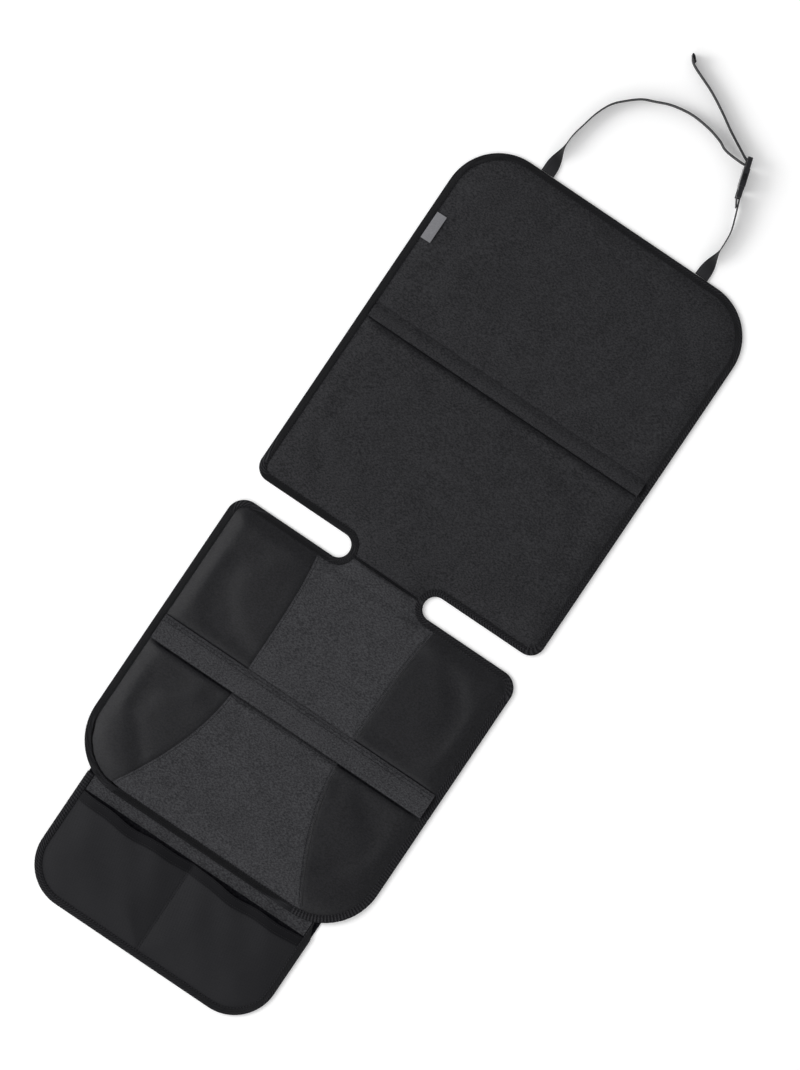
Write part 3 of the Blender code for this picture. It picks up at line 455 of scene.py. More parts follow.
class Nodes:
    """A small helper that makes the nodes of a material or a world and links them."""

    def __init__(self, tree):
        self.tree = tree

    def link(self, out, to):
        self.tree.links.new(out, to)

    def feed(self, socket, value):
        """Links a socket to another, or gives it a constant."""
        if isinstance(value, bpy.types.NodeSocket):
            self.link(value, socket)
        else:
            socket.default_value = value

    def node(self, kind, **settings):
        made = self.tree.nodes.new(kind)
        for key, value in settings.items():
            if hasattr(made, key):
                setattr(made, key, value)
            else:
                self.feed(made.inputs[key], value)
        return made

    def math(self, operation, a, b):
        made = self.node("ShaderNodeMath", operation=operation)
        self.feed(made.inputs[0], a)
        self.feed(made.inputs[1], b)
        return made.outputs[0]

    def blend(self, a, share, b):
        """The given share of a, and b for the rest."""
        return self.math("ADD", self.math("MULTIPLY", a, share), self.math("MULTIPLY", b, 1 - share))

    def ramp(self, factor, dark, light, ends=(0.0, 1.0)):
        """Colour between two, by a factor that runs from one end to the other."""
        made = self.node("ShaderNodeValToRGB", Fac=factor)
        for element, colour, end in zip(made.color_ramp.elements, (dark, light), ends):
            element.position = end
            element.color = (*colour, 1.0)
        return made.outputs["Color"]


class Finish(Nodes):
    """A material on one Principled shader."""

    def __init__(self, name, colour, roughness, gloss=0.5):
        self.material = bpy.data.materials.new(name)
        self.material.use_nodes = True
        super().__init__(self.material.node_tree)
        self.shader = self.tree.nodes["Principled BSDF"]
        self.shader.inputs["Base Color"].default_value = (*colour, 1.0)
        self.shader.inputs["Roughness"].default_value = roughness
        self.shader.inputs["Specular IOR Level"].default_value = gloss

    def coordinates(self, kind, turn=0.0, scale=(1.0, 1.0, 1.0)):
        place = self.node("ShaderNodeTexCoord").outputs[kind]
        return self.node("ShaderNodeMapping", Vector=place, Rotation=(0, 0, turn), Scale=scale).outputs[0]

    def waves(self, vector, pitch, direction):
        bands = {"wave_type": "BANDS", "bands_direction": direction, "Scale": math.pi / 10 / pitch}
        return self.node("ShaderNodeTexWave", Vector=vector, **bands).outputs["Fac"]

    def cloud(self, vector, size, detail=2.0):
        return self.node("ShaderNodeTexNoise", Vector=vector, Scale=1 / size, Detail=detail).outputs["Fac"]

    def shade(self, factor, dark, light):
        self.link(self.ramp(factor, dark, light), self.shader.inputs["Base Color"])

    def bump(self, height, distance):
        made = self.node("ShaderNodeBump", Height=height, Distance=distance, Strength=1.0)
        self.link(made.outputs["Normal"], self.shader.inputs["Normal"])


def tint(grey):
    """A grey that leans a little to blue, more so when it is dark."""
    return (grey, grey, grey * 1.06 + 0.0013)


# The weaves' uneven thread: its size, its slant and stretch, and the contrast of its specks
SLUB, SLUB_TURN, SLUB_STRETCH, SLUB_CONTRAST = 0.0028, math.radians(-55), 1.6, 3.8
MESH_CLOUD = 0.06


def woven(name, grey, roughness, pitch, depth, mottle, spread=0.42, gloss=0.5):
    """Plain woven cloth: threads over and under, with specks and a cloudy variation of colour."""
    made = Finish(name, tint(grey), roughness, gloss)
    place = made.coordinates("Object")
    warp = made.waves(place, pitch, "X")
    weft = made.waves(place, pitch, "Y")
    over = made.math("MULTIPLY", warp, weft)
    under = made.math("MULTIPLY", made.math("SUBTRACT", 1.0, warp), made.math("SUBTRACT", 1.0, weft))
    thread = made.math("ADD", over, under)
    slub = made.cloud(made.coordinates("Object", SLUB_TURN, (1.0, SLUB_STRETCH, 1.0)), SLUB)
    grain = made.blend(slub, 0.88, made.cloud(place, mottle))
    sharp = made.math("ADD", made.math("MULTIPLY", made.math("SUBTRACT", grain, 0.5), SLUB_CONTRAST), 0.5)
    made.shade(
        made.blend(thread, 0.2, sharp), tint(grey * (1 - 2 * spread)), tint(grey * (1 + 2 * spread))
    )
    made.bump(made.blend(thread, 0.5, slub), depth)
    return made.material


def ribbed(name, grey, roughness, pitch, depth, contrast=0.45, gloss=0.5):
    """Tape or webbing with ribs across it, laid out by its UV map in metres, with painted shade in the rib
    valleys and painted highlight on their crests.
    """
    made = Finish(name, tint(grey), roughness, gloss)
    place = made.coordinates("UV")
    rib = made.waves(place, pitch, "X")
    thread = made.waves(place, pitch * 0.8, "Y")
    height = made.blend(rib, 0.75, thread)
    # Painted shade and highlight: the colour is darker in the rib valleys and lighter on the crests, by
    # contrast.
    made.shade(height, tint(grey * (1 - contrast)), tint(grey * (1 + contrast)))
    made.bump(height, depth)
    return made.material


def grained(name, grey, roughness, size, depth, gloss=0.5):
    made = Finish(name, tint(grey), roughness, gloss)
    grain = made.cloud(made.coordinates("Object"), size, 3.0)
    made.shade(grain, tint(grey * 0.8), tint(grey * 1.2))
    made.bump(grain, depth)
    return made.material


def net(name, grey, roughness, pitch, depth, gloss=0.5):
    """Fine knitted mesh: small dark holes between pale threads."""
    made = Finish(name, tint(grey), roughness, gloss)
    place = made.coordinates("Object", math.radians(45))
    rows = made.waves(place, pitch, "X")
    columns = made.waves(place, pitch, "Y")
    holes = made.math("MULTIPLY", rows, columns)
    factor = made.blend(holes, 0.7, made.cloud(place, MESH_CLOUD))
    made.shade(factor, tint(grey * 1.6), tint(grey * 0.25))
    made.bump(made.math("SUBTRACT", 1.0, holes), depth)
    return made.material


# Each finish: its name, grey, roughness, thread or grain size, depth of bump, and size of its clouds
DULL = 0.25
BLACK_CLOTH = woven("black_cloth_weave", 0.0148, 0.72, 0.0011, 0.0005, 0.03, gloss=DULL)
GREY_CLOTH = woven("charcoal_cloth_weave", 0.0310, 0.80, 0.0011, 0.0004, 0.03, 0.30, gloss=DULL)
PATCH_CLOTH = woven("glossy_patch_weave", 0.0055, 0.36, 0.0008, 0.0002, 0.05, gloss=0.27)
TAPE = ribbed("ribbed_edge_tape", 0.0090, 0.66, 0.0044, 0.0016, 0.95, gloss=0.20)
FOAM = grained("foam_grain", 0.18, 0.95, 0.0015, 0.0003)
BACKING = grained("backing_grain", 0.030, 0.65, 0.0010, 0.0001)
DOTS = grained("rubber_dots", 0.035, 0.45, 0.0006, 0.00003)
# The lining's grey is set below every other cloth's and nearly without gloss: its own dark colour, darkened
# further as painted shade for the pocket mouths where it shows.
LINING = woven("pocket_lining_weave", 0.006, 0.80, 0.0010, 0.0001, 0.03, gloss=0.05)
NET = net("pocket_net", 0.0080, 0.60, 0.0020, 0.0003, gloss=0.20)
LABEL = woven("label_weave", 0.142, 0.75, 0.0006, 0.00005, 0.01, 0.05)
WEBBING = ribbed("webbing_ribs", 0.012, 0.62, 0.0011, 0.0002, gloss=DULL)
THREAD = grained("black_thread", 0.004, 0.60, 0.0006, 0.0001, gloss=DULL)
PLASTIC = grained("moulded_plastic", 0.011, 0.30, 0.0008, 0.00002)


# Camera, light and floor


CAMERA_SPOT = (-0.0175, 0.0809, 5.545)
CAMERA_TURN = math.radians(34)
KEY_PLACE, KEY_AIM, KEY_SIZE, KEY_POWER = (-2.9, -0.75, 2.1), (0, 0.05, 0), 1.8, 58
# The sky is pale around and darker overhead, and brighter on the side that the photograph is lit from
SKY_STRENGTH, SKY_SIDE, SKY_SIDE_SHARE, SKY_EVEN_SHARE = 1.55, (-0.70, -0.71, 0), 0.45, 0.60
SKY_ENDS, SKY_AROUND, SKY_OVERHEAD = (0.82, 0.975), (1, 1, 1), (0.25, 0.25, 0.26)
FLOOR_HALF, FLOOR_COLOUR, FLOOR_LIFT = 6.0, (0.93, 0.93, 0.93), 0.15


def set_camera():
    camera = bpy.data.objects.new("camera", bpy.data.cameras.new("camera"))
    bpy.context.scene.collection.objects.link(camera)
    camera.data.lens = 135
    camera.data.sensor_width = 36
    camera.data.clip_start = 0.05
    camera.data.clip_end = 50
    camera.location = CAMERA_SPOT
    camera.rotation_euler = (0, 0, CAMERA_TURN)
    bpy.context.scene.camera = camera


def add_lamp(name, place, aim, size, power):
    lamp = bpy.data.lights.new(name, "AREA")
    lamp.shape = "DISK"
    lamp.size = size
    lamp.energy = power
    obj = bpy.data.objects.new(name, lamp)
    obj.location = place
    obj.rotation_euler = (Vector(place) - Vector(aim)).to_track_quat("Z", "Y").to_euler()
    bpy.context.scene.collection.objects.link(obj)


def set_stage():
    world = bpy.data.worlds.new("studio")
    world.use_nodes = True
    sky = Nodes(world.node_tree)
    background = sky.tree.nodes["Background"]
    background.inputs["Strength"].default_value = SKY_STRENGTH
    direction = sky.node("ShaderNodeTexCoord").outputs["Generated"]
    split = sky.node("ShaderNodeSeparateXYZ", Vector=direction)
    side = sky.node("ShaderNodeVectorMath", operation="DOT_PRODUCT")
    sky.feed(side.inputs[0], direction)
    sky.feed(side.inputs[1], SKY_SIDE)
    share = sky.math("ADD", sky.math("MULTIPLY", side.outputs["Value"], SKY_SIDE_SHARE), SKY_EVEN_SHARE)
    scaled = sky.node("ShaderNodeVectorMath", operation="SCALE", Scale=share)
    sky.feed(scaled.inputs[0], sky.ramp(split.outputs["Z"], SKY_AROUND, SKY_OVERHEAD, SKY_ENDS))
    sky.link(scaled.outputs["Vector"], background.inputs["Color"])
    bpy.context.scene.world = world
    add_lamp("key", KEY_PLACE, KEY_AIM, KEY_SIZE, KEY_POWER)
    corners = [(x, y, -GAP) for x, y in rectangle(-FLOOR_HALF, FLOOR_HALF, -FLOOR_HALF, FLOOR_HALF)]
    made = Finish("white_floor", FLOOR_COLOUR, 0.9)
    rays = made.node("ShaderNodeLightPath")
    mirrored = made.math("ADD", rays.outputs["Is Glossy Ray"], rays.outputs["Is Transmission Ray"])
    seen = made.math("MINIMUM", made.math("ADD", rays.outputs["Is Camera Ray"], mirrored), 1.0)
    made.shader.inputs["Emission Color"].default_value = (1, 1, 1, 1)
    made.link(made.math("MULTIPLY", seen, FLOOR_LIFT), made.shader.inputs["Emission Strength"])
    new_object("floor", corners, [(0, 1, 2, 3)], made.material)


set_camera()
set_stage()
bpy.context.scene.view_settings.view_transform = "Standard"


# Headrest strap and buckle


def buckle_place(along, beside=0.0):
    direction = Vector(BUCKLE_DIRECTION).normalized()
    side = Vector((-direction.y, direction.x))
    return Vector(BUCKLE_TOP) + direction * along + side * beside


def around_bar(along, turn, first, last):
    angles = [math.radians(first + (last - first) * k / 6) for k in range(7)]
    return [buckle_place(along + turn * math.cos(a), turn * math.sin(a)) for a in angles]


def smooth_route(points, step):
    points = [Vector(p) for p in points]
    route = []
    padded = [2 * points[0] - points[1], *points, 2 * points[-1] - points[-2]]
    for i in range(1, len(padded) - 2):
        before, a, b, after = padded[i - 1 : i + 3]
        steps = max(1, math.ceil((b - a).length / step))
        for k in range(steps):
            t = k / steps
            turned = (2 * before - 5 * a + 4 * b - after) * t**2
            eased = (3 * a - before - 3 * b + after) * t**3
            route.append(0.5 * (2 * a + (b - before) * t + turned + eased))
    return route + [points[-1]]


RIBBON_SECTION = [(-1, -0.4), (-0.97, -1), (-0.5, -1), (0, -1), (0.5, -1), (0.97, -1), (1, -0.4)]
RIBBON_SECTION += [(-a, -b) for a, b in RIBBON_SECTION]


def webbing(name, points, bar_along):
    """Webbing along a route that starts at the mat, lying flat there and then standing on its edge."""
    route = smooth_route(points, 0.0025)
    from_mat = 0.0
    centres, rings = [], []
    for i, place in enumerate(route):
        if i:
            from_mat += (place - route[i - 1]).length
        run = route[min(i + 1, len(route) - 1)] - route[max(i - 1, 0)]
        normal = Vector((-run.y, run.x)).normalized()
        turned = float(smooth_step(from_mat / TWIST_LENGTH))
        tilt = math.pi / 2 * (1 - turned)
        from_bar = (place - buckle_place(bar_along)).length
        held = float(smooth_step(1 - max(from_bar - LADDER_LENGTH, 0.0) / TWIST_LENGTH))
        across = Vector((normal.x * math.sin(tilt), normal.y * math.sin(tilt), math.cos(tilt)))
        through = Vector((normal.x * math.cos(tilt), normal.y * math.cos(tilt), -math.sin(tilt)))
        standing = WEBBING_WIDTH / 2 * math.cos(tilt) + WEBBING_THICK / 2 * math.sin(tilt)
        height = standing + TAPE_HEIGHT / 2 * (1 - turned) + held * (BUCKLE_RAIL + WEBBING_SLACK)
        centre = Vector((place.x, place.y, height))
        centres.append(centre)
        rings.append(
            [
                centre + across * (a * WEBBING_WIDTH / 2) + through * (b * WEBBING_THICK / 2)
                for a, b in RIBBON_SECTION
            ]
        )
    vertices = [corner for ring in rings for corner in ring]
    along = [0.0]
    for a, b in zip(centres, centres[1:]):
        along.append(along[-1] + (b - a).length)
    around = [k * WEBBING_WIDTH / 6 for k in range(len(RIBBON_SECTION) + 1)]
    obj = ribbed_tube(name, vertices, along, around, WEBBING)
    return obj, centres, along[-1]


def lay_cord(strap, centres, length, far_end, **more):
    tuple(centres[0])
    [tuple(p) for p in centres]


def make_straps():
    turn = BAR_RADIUS + BAR_CLEARANCE + WEBBING_THICK / 2
    long_route = [
        (-0.1276, BACK_TOP + GAP), (-0.1280, 0.6327), (-0.1285, 0.6664), (-0.1236, 0.6921),
        (-0.1181, 0.7142), (-0.1089, 0.7349), (-0.0960, 0.7496), (-0.0776, 0.7652), (-0.0591, 0.7735),
        (-0.0368, 0.7822), (-0.0073, 0.7866), (0.0224, 0.7840), (0.0444, 0.7780), (0.0593, 0.7712),
        (0.0851, 0.7692), *around_bar(SECOND_BAR, turn, 0, 180), (0.0851, 0.7785), (0.0519, 0.7965),
        (0.0259, 0.8125), (-0.0036, 0.8284), (-0.0424, 0.8447), (-0.0520, 0.8540), (-0.0535, 0.8567),
        (-0.0507, 0.8560), (-0.0440, 0.8495),
    ]
    loop = LADDER_LENGTH + SOCKET_LENGTH + SHOULDER_LENGTH + LOOP_LENGTH - 2 * BAR_RADIUS
    short_route = [
        (0.1142, 0.7137), (0.1096, 0.7216), *around_bar(loop, turn, -90, -270), (0.1130, 0.7222),
        (0.1203, 0.7031), (0.1270, 0.6831), (0.1288, 0.6631), (0.1290, 0.6438), (0.1283, BACK_TOP + GAP),
    ]
    strap, centres, length = webbing("adjuster_webbing", long_route, SECOND_BAR)
    dress(strap, "webbing", "adjuster_strap")
    lay_cord(strap, centres, length, "bare")
    short, centres, length = webbing("anchor_webbing", short_route[::-1], loop)
    dress(short, "webbing", "anchor_strap")
    halves = [bpy.data.objects["buckle_socket"], bpy.data.objects["buckle_plug"]]
    lay_cord(short, centres, length, "fitting", with_pieces=halves)
    for half in halves:
        for material_slot in half.material_slots:
            material_slot.link = "OBJECT"
            material_slot.material = PLASTIC


make_straps()


# Padded covers, with the cloth of each pad swelled by simulation


MOST_SWELL, SWELL_GRID, SWELL_BLUR = 0.0012, 0.004, 0.007
LAST_FRAME = 20
PRESSED_CLOTH = dict(
    quality=6, mass=0.25, tension_stiffness=20, compression_stiffness=20, shear_stiffness=8,
    bending_stiffness=1.2, vertex_group_mass="held", use_pressure=True, uniform_pressure_force=1.2,
    shrink_min=-0.012,
)
# Below the neck, where the seat's foam board begins: the dip's place, depth and width, and how far it runs
NECK_DIP, DIP_DEPTH, DIP_WIDTH, DIP_HALF, DIP_FADE = SEAT_TOP - 0.0115, 0.0022, 0.0045, 0.105, 0.04
# Unevenness of the padding: height of the small bumps, their size, and the same for the long waves
SEAT_BUMPS, BACK_BUMPS, BUMP_SIZE, WAVES, WAVE_SIZE = 0.0005, 0.0003, 0.035, 0.0004, 0.09
SEAM_DRAW, SEAM_SPREAD = 0.0008, 0.0030


def simulate_pad(low_y, high_y, pinches):
    """How far the cloth of one pad swells as it settles under pressure, on a grid over the pad."""
    outline = band_of(TAPE_INNER, low_y, high_y)
    points, triangles = fill(spaced(outline, COARSE), COARSE)
    base = crown(points, pinches)
    obj = new_object("pad_swell", np.column_stack([points, base]), triangles, BLACK_CLOTH)
    held = obj.vertex_groups.new(name="held")
    rim = ring_distance(points, outline) < COARSE / 2
    held.add([int(i) for i in np.flatnonzero(rim)], 1.0, "REPLACE")
    cloth = obj.modifiers.new("cloth", "CLOTH")
    for key, value in PRESSED_CLOTH.items():
        setattr(cloth.settings, key, value)
    cloth.settings.effector_weights.gravity = 0
    cloth.collision_settings.use_collision = False
    scene = bpy.context.scene
    scene.frame_start, scene.frame_end = 1, LAST_FRAME
    for step in range(1, LAST_FRAME + 1):
        scene.frame_set(step)
    graph = bpy.context.evaluated_depsgraph_get()
    settled = obj.evaluated_get(graph).to_mesh()
    moved = np.empty(len(points) * 3)
    settled.vertices.foreach_get("co", moved)
    obj.evaluated_get(graph).to_mesh_clear()
    scene.frame_set(1)
    bpy.data.objects.remove(obj, do_unlink=True)
    swell = moved.reshape(-1, 3)[:, 2] - base
    swell = MOST_SWELL * np.tanh((swell - np.median(swell)) / MOST_SWELL)
    swell *= smooth_step(ring_distance(points, outline) / EDGE_REACH)

    low, high = outline.min(0), outline.max(0)
    xs = np.arange(low[0], high[0] + SWELL_GRID, SWELL_GRID)
    grid = []
    for y in np.arange(low[1], high[1] + SWELL_GRID, SWELL_GRID):
        near = np.abs(points[:, 1] - y) < 3 * SWELL_BLUR
        away = (xs[:, None] - points[near, 0]) ** 2 + (y - points[near, 1]) ** 2
        share = np.exp(-away / (2 * SWELL_BLUR**2))
        grid.append(share @ swell[near] / (share.sum(1) + 1e-9))
    return low, np.array(grid)


def swell_at(pad, points):
    """The swell of a pad at each point, read from its grid."""
    if PADS[pad] is None:
        return np.zeros(len(points))
    low, grid = PADS[pad]
    column = np.clip((points[:, 0] - low[0]) / SWELL_GRID, 0, grid.shape[1] - 1.001)
    row = np.clip((points[:, 1] - low[1]) / SWELL_GRID, 0, grid.shape[0] - 1.001)
    i, j = row.astype(int), column.astype(int)
    up, over = row - i, column - j
    lower = grid[i, j] * (1 - over) + grid[i, j + 1] * over
    upper = grid[i + 1, j] * (1 - over) + grid[i + 1, j + 1] * over
    return lower * (1 - up) + upper * up


# Each pad: where it starts and ends, and the fold lines that pinch it
PAD_LINES = {
    "back_upper": (HEM_STITCH, BACK_TOP, [HEM_STITCH]),
    "back_lower": (CREASE, HEM_EDGE, [HEM_EDGE, CREASE]),
    "seat_rear": (BAND_TOP, CREASE, [BAND_TOP, CREASE]),
    "seat_front": (SEAT_FRONT, BAND_EDGE, [BAND_EDGE]),
}
PADS = {pad: simulate_pad(*lines) for pad, lines in PAD_LINES.items()}


def pad_top(pad, pinches, seams=None, seed=1, tucked=None):
    """Top of a padded cover: crowned, swelled, a little uneven, and drawn in along its seams."""

    def height(points):
        rise = crown(points, pinches)
        rise += swell_at(pad, points) * smooth_step(rise / CROWN)
        if pad == "seat_rear":
            dip = np.exp(-(((points[:, 1] - NECK_DIP) / DIP_WIDTH) ** 2))
            rise -= DIP_DEPTH * dip * smooth_step((DIP_HALF - np.abs(points[:, 0])) / DIP_FADE)
        uneven = SEAT_BUMPS if pad.startswith("seat") else BACK_BUMPS
        rise += uneven * wobble(points, BUMP_SIZE, seed) * smooth_step(rise / CROWN)
        rise += WAVES * wobble(points, WAVE_SIZE, seed + 5) * smooth_step(rise / CROWN)
        if seams is not None:
            beside = np.abs(np.abs(points[:, 0]) - seams(points[:, 1]))
            rise -= SEAM_DRAW * np.exp(-((beside / SEAM_SPREAD) ** 2)) * smooth_step(rise / 0.002)
        if tucked is not None:
            flat = (points[:, 1] > tucked[0] - GAP) & (points[:, 1] < tucked[1] + GAP)
            rise[flat] = 0.0
        return COVER_FLANGE + CLOTH + rise + seat_lift(points[:, 1])

    return height


def make_covers():
    flange = mat_ring(TAPE_THICK + GAP)
    made = []

    body_top = pad_top("back_upper", [HEM_STITCH], seed=2)
    side = SIDE_INSIDE_TAPE
    body = band_of(flange, HEM_STITCH, BACK_TOP + 1)
    hem = [(-side, HEM_STITCH), (-side, HEM_EDGE), (side, HEM_EDGE), (side, HEM_STITCH)]
    start = int(np.argmin((body[:, 1] - HEM_STITCH) ** 2 + (body[:, 0] - PANEL_WIDTH / 2) ** 2))
    body = np.roll(body, -start, axis=0)
    outline = np.vstack([hem, body])

    def upper_top(points):
        height = body_top(points)
        share = (HEM_STITCH - points[:, 1]) / (HEM_STITCH - HEM_EDGE)
        fold = share > 0
        seam_top = COVER_FLANGE + CLOTH
        swell = FOLD_SWELL * HEM_THICK * np.sin(np.clip(share, 0, 1) * math.pi)
        rise = (HEM_LOW + HEM_THICK - seam_top) * smooth_step(share * 2)
        soft = FOLD_UNEVEN * wobble(points, 0.02, 9) * smooth_step(share * 4)
        at_stitch = FOLDS[HEM_STITCH][2] * CROWN * edge_share(points)
        roll = np.maximum(HEM_RISE * smooth_step(share * 4), at_stitch)
        height[fold] = (seam_top + rise + swell + soft + roll)[fold]
        return height

    def upper_low(points):
        height = upper_top(points) - CLOTH
        fold = points[:, 1] < HEM_STITCH - GAP
        return np.where(fold, np.minimum(height, HEM_LOW), height)

    upper = cloth_layer("back_upper_pad", outline, FINE, upper_top, upper_low, BLACK_CLOTH)
    made.append((upper, "black_cloth", "back_upper_cover"))

    outline = band_of(flange, CREASE, HEM_EDGE + TUCK)
    top = pad_top("back_lower", [HEM_EDGE, NECK_LIP], seed=3, tucked=(HEM_EDGE, HEM_EDGE + TUCK))
    lower = cloth_layer("back_lower_pad", outline, FINE, top, raised(top, -CLOTH), BLACK_CLOTH)
    made.append((lower, "black_cloth", "back_lower_cover"))

    halves = (
        ("rear", rear_half, BAND_TOP - TUCK, CREASE, [BAND_TOP, CREASE], (BAND_TOP - TUCK, BAND_TOP)),
        ("front", front_half, SEAT_FRONT - 1, BAND_EDGE + TUCK, [BAND_EDGE], (BAND_EDGE, BAND_EDGE + TUCK)),
    )
    for where, half, low_y, high_y, pinches, tucked in halves:
        outline = band_of(flange, low_y, high_y)
        top = pad_top(f"seat_{where}", pinches, half, 4 if where == "rear" else 6, tucked)
        patches = (
            ("centre", centre_patch(outline, half), GREY_CLOTH, "grey_cloth"),
            ("left", side_patch(outline, half, -1), PATCH_CLOTH, "patch_cloth"),
            ("right", side_patch(outline, half, 1), PATCH_CLOTH, "patch_cloth"),
        )
        for part, patch, finish, slot in patches:
            node = f"seat_{where}_{part}"
            piece = cloth_layer(f"{node}_pad", patch, FINE, top, raised(top, -CLOTH), finish)
            made.append((piece, slot, node))
    for piece, slot, node in made:
        dress(piece, slot, node)
    return [piece for piece, _, _ in made]


COVERS = make_covers()


def make_fold_band():
    side = SIDE_INSIDE_TAPE
    outline = rectangle(-side, side, BAND_EDGE, BAND_TOP)

    def top(points):
        share = (BAND_TOP - points[:, 1]) / (BAND_TOP - BAND_EDGE)
        swell = FOLD_SWELL * HEM_THICK * np.sin(share * math.pi)
        ridges = BAND_RIDGE * np.sin(share * 3.5 * math.tau) * smooth_step(points[:, 0] / 0.12)
        roll = BAND_RISE * smooth_step(share * 4)
        return HEM_LOW + HEM_THICK + swell + ridges + roll + FOLD_UNEVEN * wobble(points, 0.025, 12)

    def low(points):
        return np.full(len(points), HEM_LOW)

    band = cloth_layer("seat_band", outline, FINE, top, low, GREY_CLOTH)
    dress(band, "grey_cloth", "seat_fold_band")
    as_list(COVERS[2:])
    return band


FOLD_BAND = make_fold_band()


def make_foams():
    for pad, low_y, high_y in (
        ("back_upper", HEM_STITCH + FOAM_SETBACK, BACK_TOP),
        ("back_lower", BACK_FOOT + FOAM_SETBACK, HEM_EDGE - FOAM_SETBACK),
        ("seat_rear", BAND_TOP + FOAM_SETBACK, SEAT_TOP - FOAM_SETBACK),
        ("seat_front", SEAT_FRONT, BAND_EDGE - FOAM_SETBACK),
    ):
        outline = band_of(mat_ring(TAPE_WIDTH + FOAM_SETBACK), low_y, high_y)
        top = raised(pad_top(pad, PAD_LINES[pad][2]), -CLOTH - FOAM_CLEARANCE)
        low = raised(lambda points: seat_lift(points[:, 1]), CLOTH + GAP)
        board = cloth_layer(f"{pad}_board", outline, COARSE, top, low, FOAM)
        dress(board, "foam", f"{pad}_foam")


make_foams()


# Backing sheets, with the dots of their anti-slip print

DOT_RISE, DOT_PITCH, DOT_RADIUS = 0.0005, 0.009, 0.0017
DOT_SUNK, DOT_DEPTH, DOT_TIP, DOT_CLEAR = 0.00005, 0.00035, 0.75, 0.004


def backing_low(rim, closed=True):
    def height(points):
        away = ring_distance(points, rim, closed)
        away[~within(points, rim)] = 0.0
        share = 1 - np.clip((away - GAP) / RIM_REACH, 0, 1)
        return DOT_RISE + (BACKING_RISE - DOT_RISE) * share

    return height


def make_backings():
    flange = mat_ring(TAPE_THICK + GAP)
    rim_low = backing_low(TAPE_INNER)

    def low(points):
        return rim_low(points) + seat_lift(points[:, 1])

    top = raised(low, DOT_RISE)
    made = []
    for name, node, low_y, high_y in (
        ("back_underside", "back_backing", CREASE + GAP / 2, BACK_TOP + 1),
        ("seat_underside", "seat_backing", SEAT_FRONT - 1, CREASE - GAP / 2),
    ):
        outline = band_of(flange, low_y, high_y)
        sheet = cloth_layer(name, outline, COARSE, top, low, BACKING)
        dress(sheet, "backing", node)
        made.append(sheet)
    return made


make_backings()


def make_dots():
    inner = mat_ring(TAPE_WIDTH + 0.006)
    vertices, faces = [], []
    row, y = 0, SEAT_FRONT
    while y < BACK_TOP:
        places = np.arange(-PANEL_WIDTH / 2 + (row % 2) * DOT_PITCH / 2, PANEL_WIDTH / 2, DOT_PITCH)
        points = np.column_stack([places, np.full(len(places), y)])
        keep = points[within(points, inner) & (ring_distance(points, inner) > DOT_RADIUS)]
        for x, _ in keep:
            if abs(y - CREASE) < DOT_CLEAR or (y < LIFT_START and abs(x) < POCKET_WIDTH / 2 + DOT_CLEAR):
                continue
            base = DOT_RISE + float(seat_lift(y)) + DOT_SUNK
            start = len(vertices)
            for radius, drop in ((DOT_RADIUS, 0.0), (DOT_RADIUS * DOT_TIP, DOT_DEPTH)):
                for k in range(6):
                    a = k * math.pi / 3
                    vertices.append((x + radius * math.cos(a), y + radius * math.sin(a), base - drop))
            faces += tube(2, 6, start)
        y += DOT_PITCH * ROW_SHARE
        row += 1
    dots = new_object("anti_slip_dots", vertices, faces, DOTS)
    dress(dots, "backing")


make_dots()


# Edge tapes


def tape_section(height):
    """A folded tape's section as (distance inwards, height) points, rounded where it turns over the edge."""
    inner, thick, radius = TAPE_WIDTH, TAPE_THICK, 0.0012
    arc = [math.radians(90 - 30 * k) for k in range(4)]
    top = [(radius - radius * math.cos(a), height - radius + radius * math.sin(a)) for a in arc]
    foot = [(radius - radius * math.cos(a), radius - radius * math.sin(a)) for a in reversed(arc)]
    return [
        (inner, height - thick),
        (inner - 0.0002, height - 0.0002),
        (inner - 0.0012, height + 0.00012),
        (inner * 0.5, height - 0.0001),
        *top,
        *foot,
        (inner - 0.0006, 0.0),
        (inner, thick / 2),
        (inner, thick),
        (thick, thick),
        (thick, height - thick),
    ]


def make_tapes():
    section = tape_section(TAPE_HEIGHT)
    lines = [mat_ring(inward, math.radians(4), 0.005) for inward, _ in section]
    mat_tape = swept("mat_binding", lines, [z for _, z in section], lambda y: float(seat_lift(y)), True, TAPE)
    dress(mat_tape, "edge_tape", "mat_edge_tape")
    section = tape_section(MESH_FLANGE + MESH_THICK + GAP + TAPE_THICK)
    lines = [pocket_line(inward, POCKET_TAPE_TOP, math.radians(4), 0.005) for inward, _ in section]
    pocket_tape = swept("pocket_binding", lines, [z for _, z in section], lambda y: 0.0, False, TAPE)
    dress(pocket_tape, "edge_tape", "pocket_edge_tape")
    return [mat_tape, pocket_tape]


TAPES = make_tapes()


# Pocket flap


# The mouths sag by MOUTH_SAG, unevenly as SAG_UNEVEN says, from a line that closes the gap by MOUTH_CLOSED
MOUTH_SAG, MOUTH_CLOSED, SAG_REACH, SAG_UNEVEN, SAG_WAVE = 0.0056, 0.0045, 0.030, 0.3, 75
MESH_RIDGE, FOLD_PITCH, MESH_UNEVEN = 0.0007, 0.048, 0.10
MESH_STEP = FINE * 0.8


def gape(points):
    """How far the mesh stands off the backing, from 0 at its seams to 1 in the middle of each pocket."""
    away = np.minimum(ring_distance(points, POCKET_RIM, False), np.abs(points[:, 0]))
    away[~within(points, POCKET_RIM)] = 0.0
    return np.sin(np.minimum(away / POCKET_BULGE_REACH, 1.0) * math.pi / 2)


def mesh_low(points):
    open_share = gape(points)
    uneven = 1 + MESH_UNEVEN * wobble(points, 0.05, 21)
    ridges = np.sin((0.8 * points[:, 0] + 0.6 * points[:, 1]) * math.tau / FOLD_PITCH)
    ridges *= 0.5 + 0.5 * wobble(points, 0.08, 23)
    return MESH_FLANGE + (POCKET_BULGE * uneven + MESH_RIDGE * ridges) * open_share


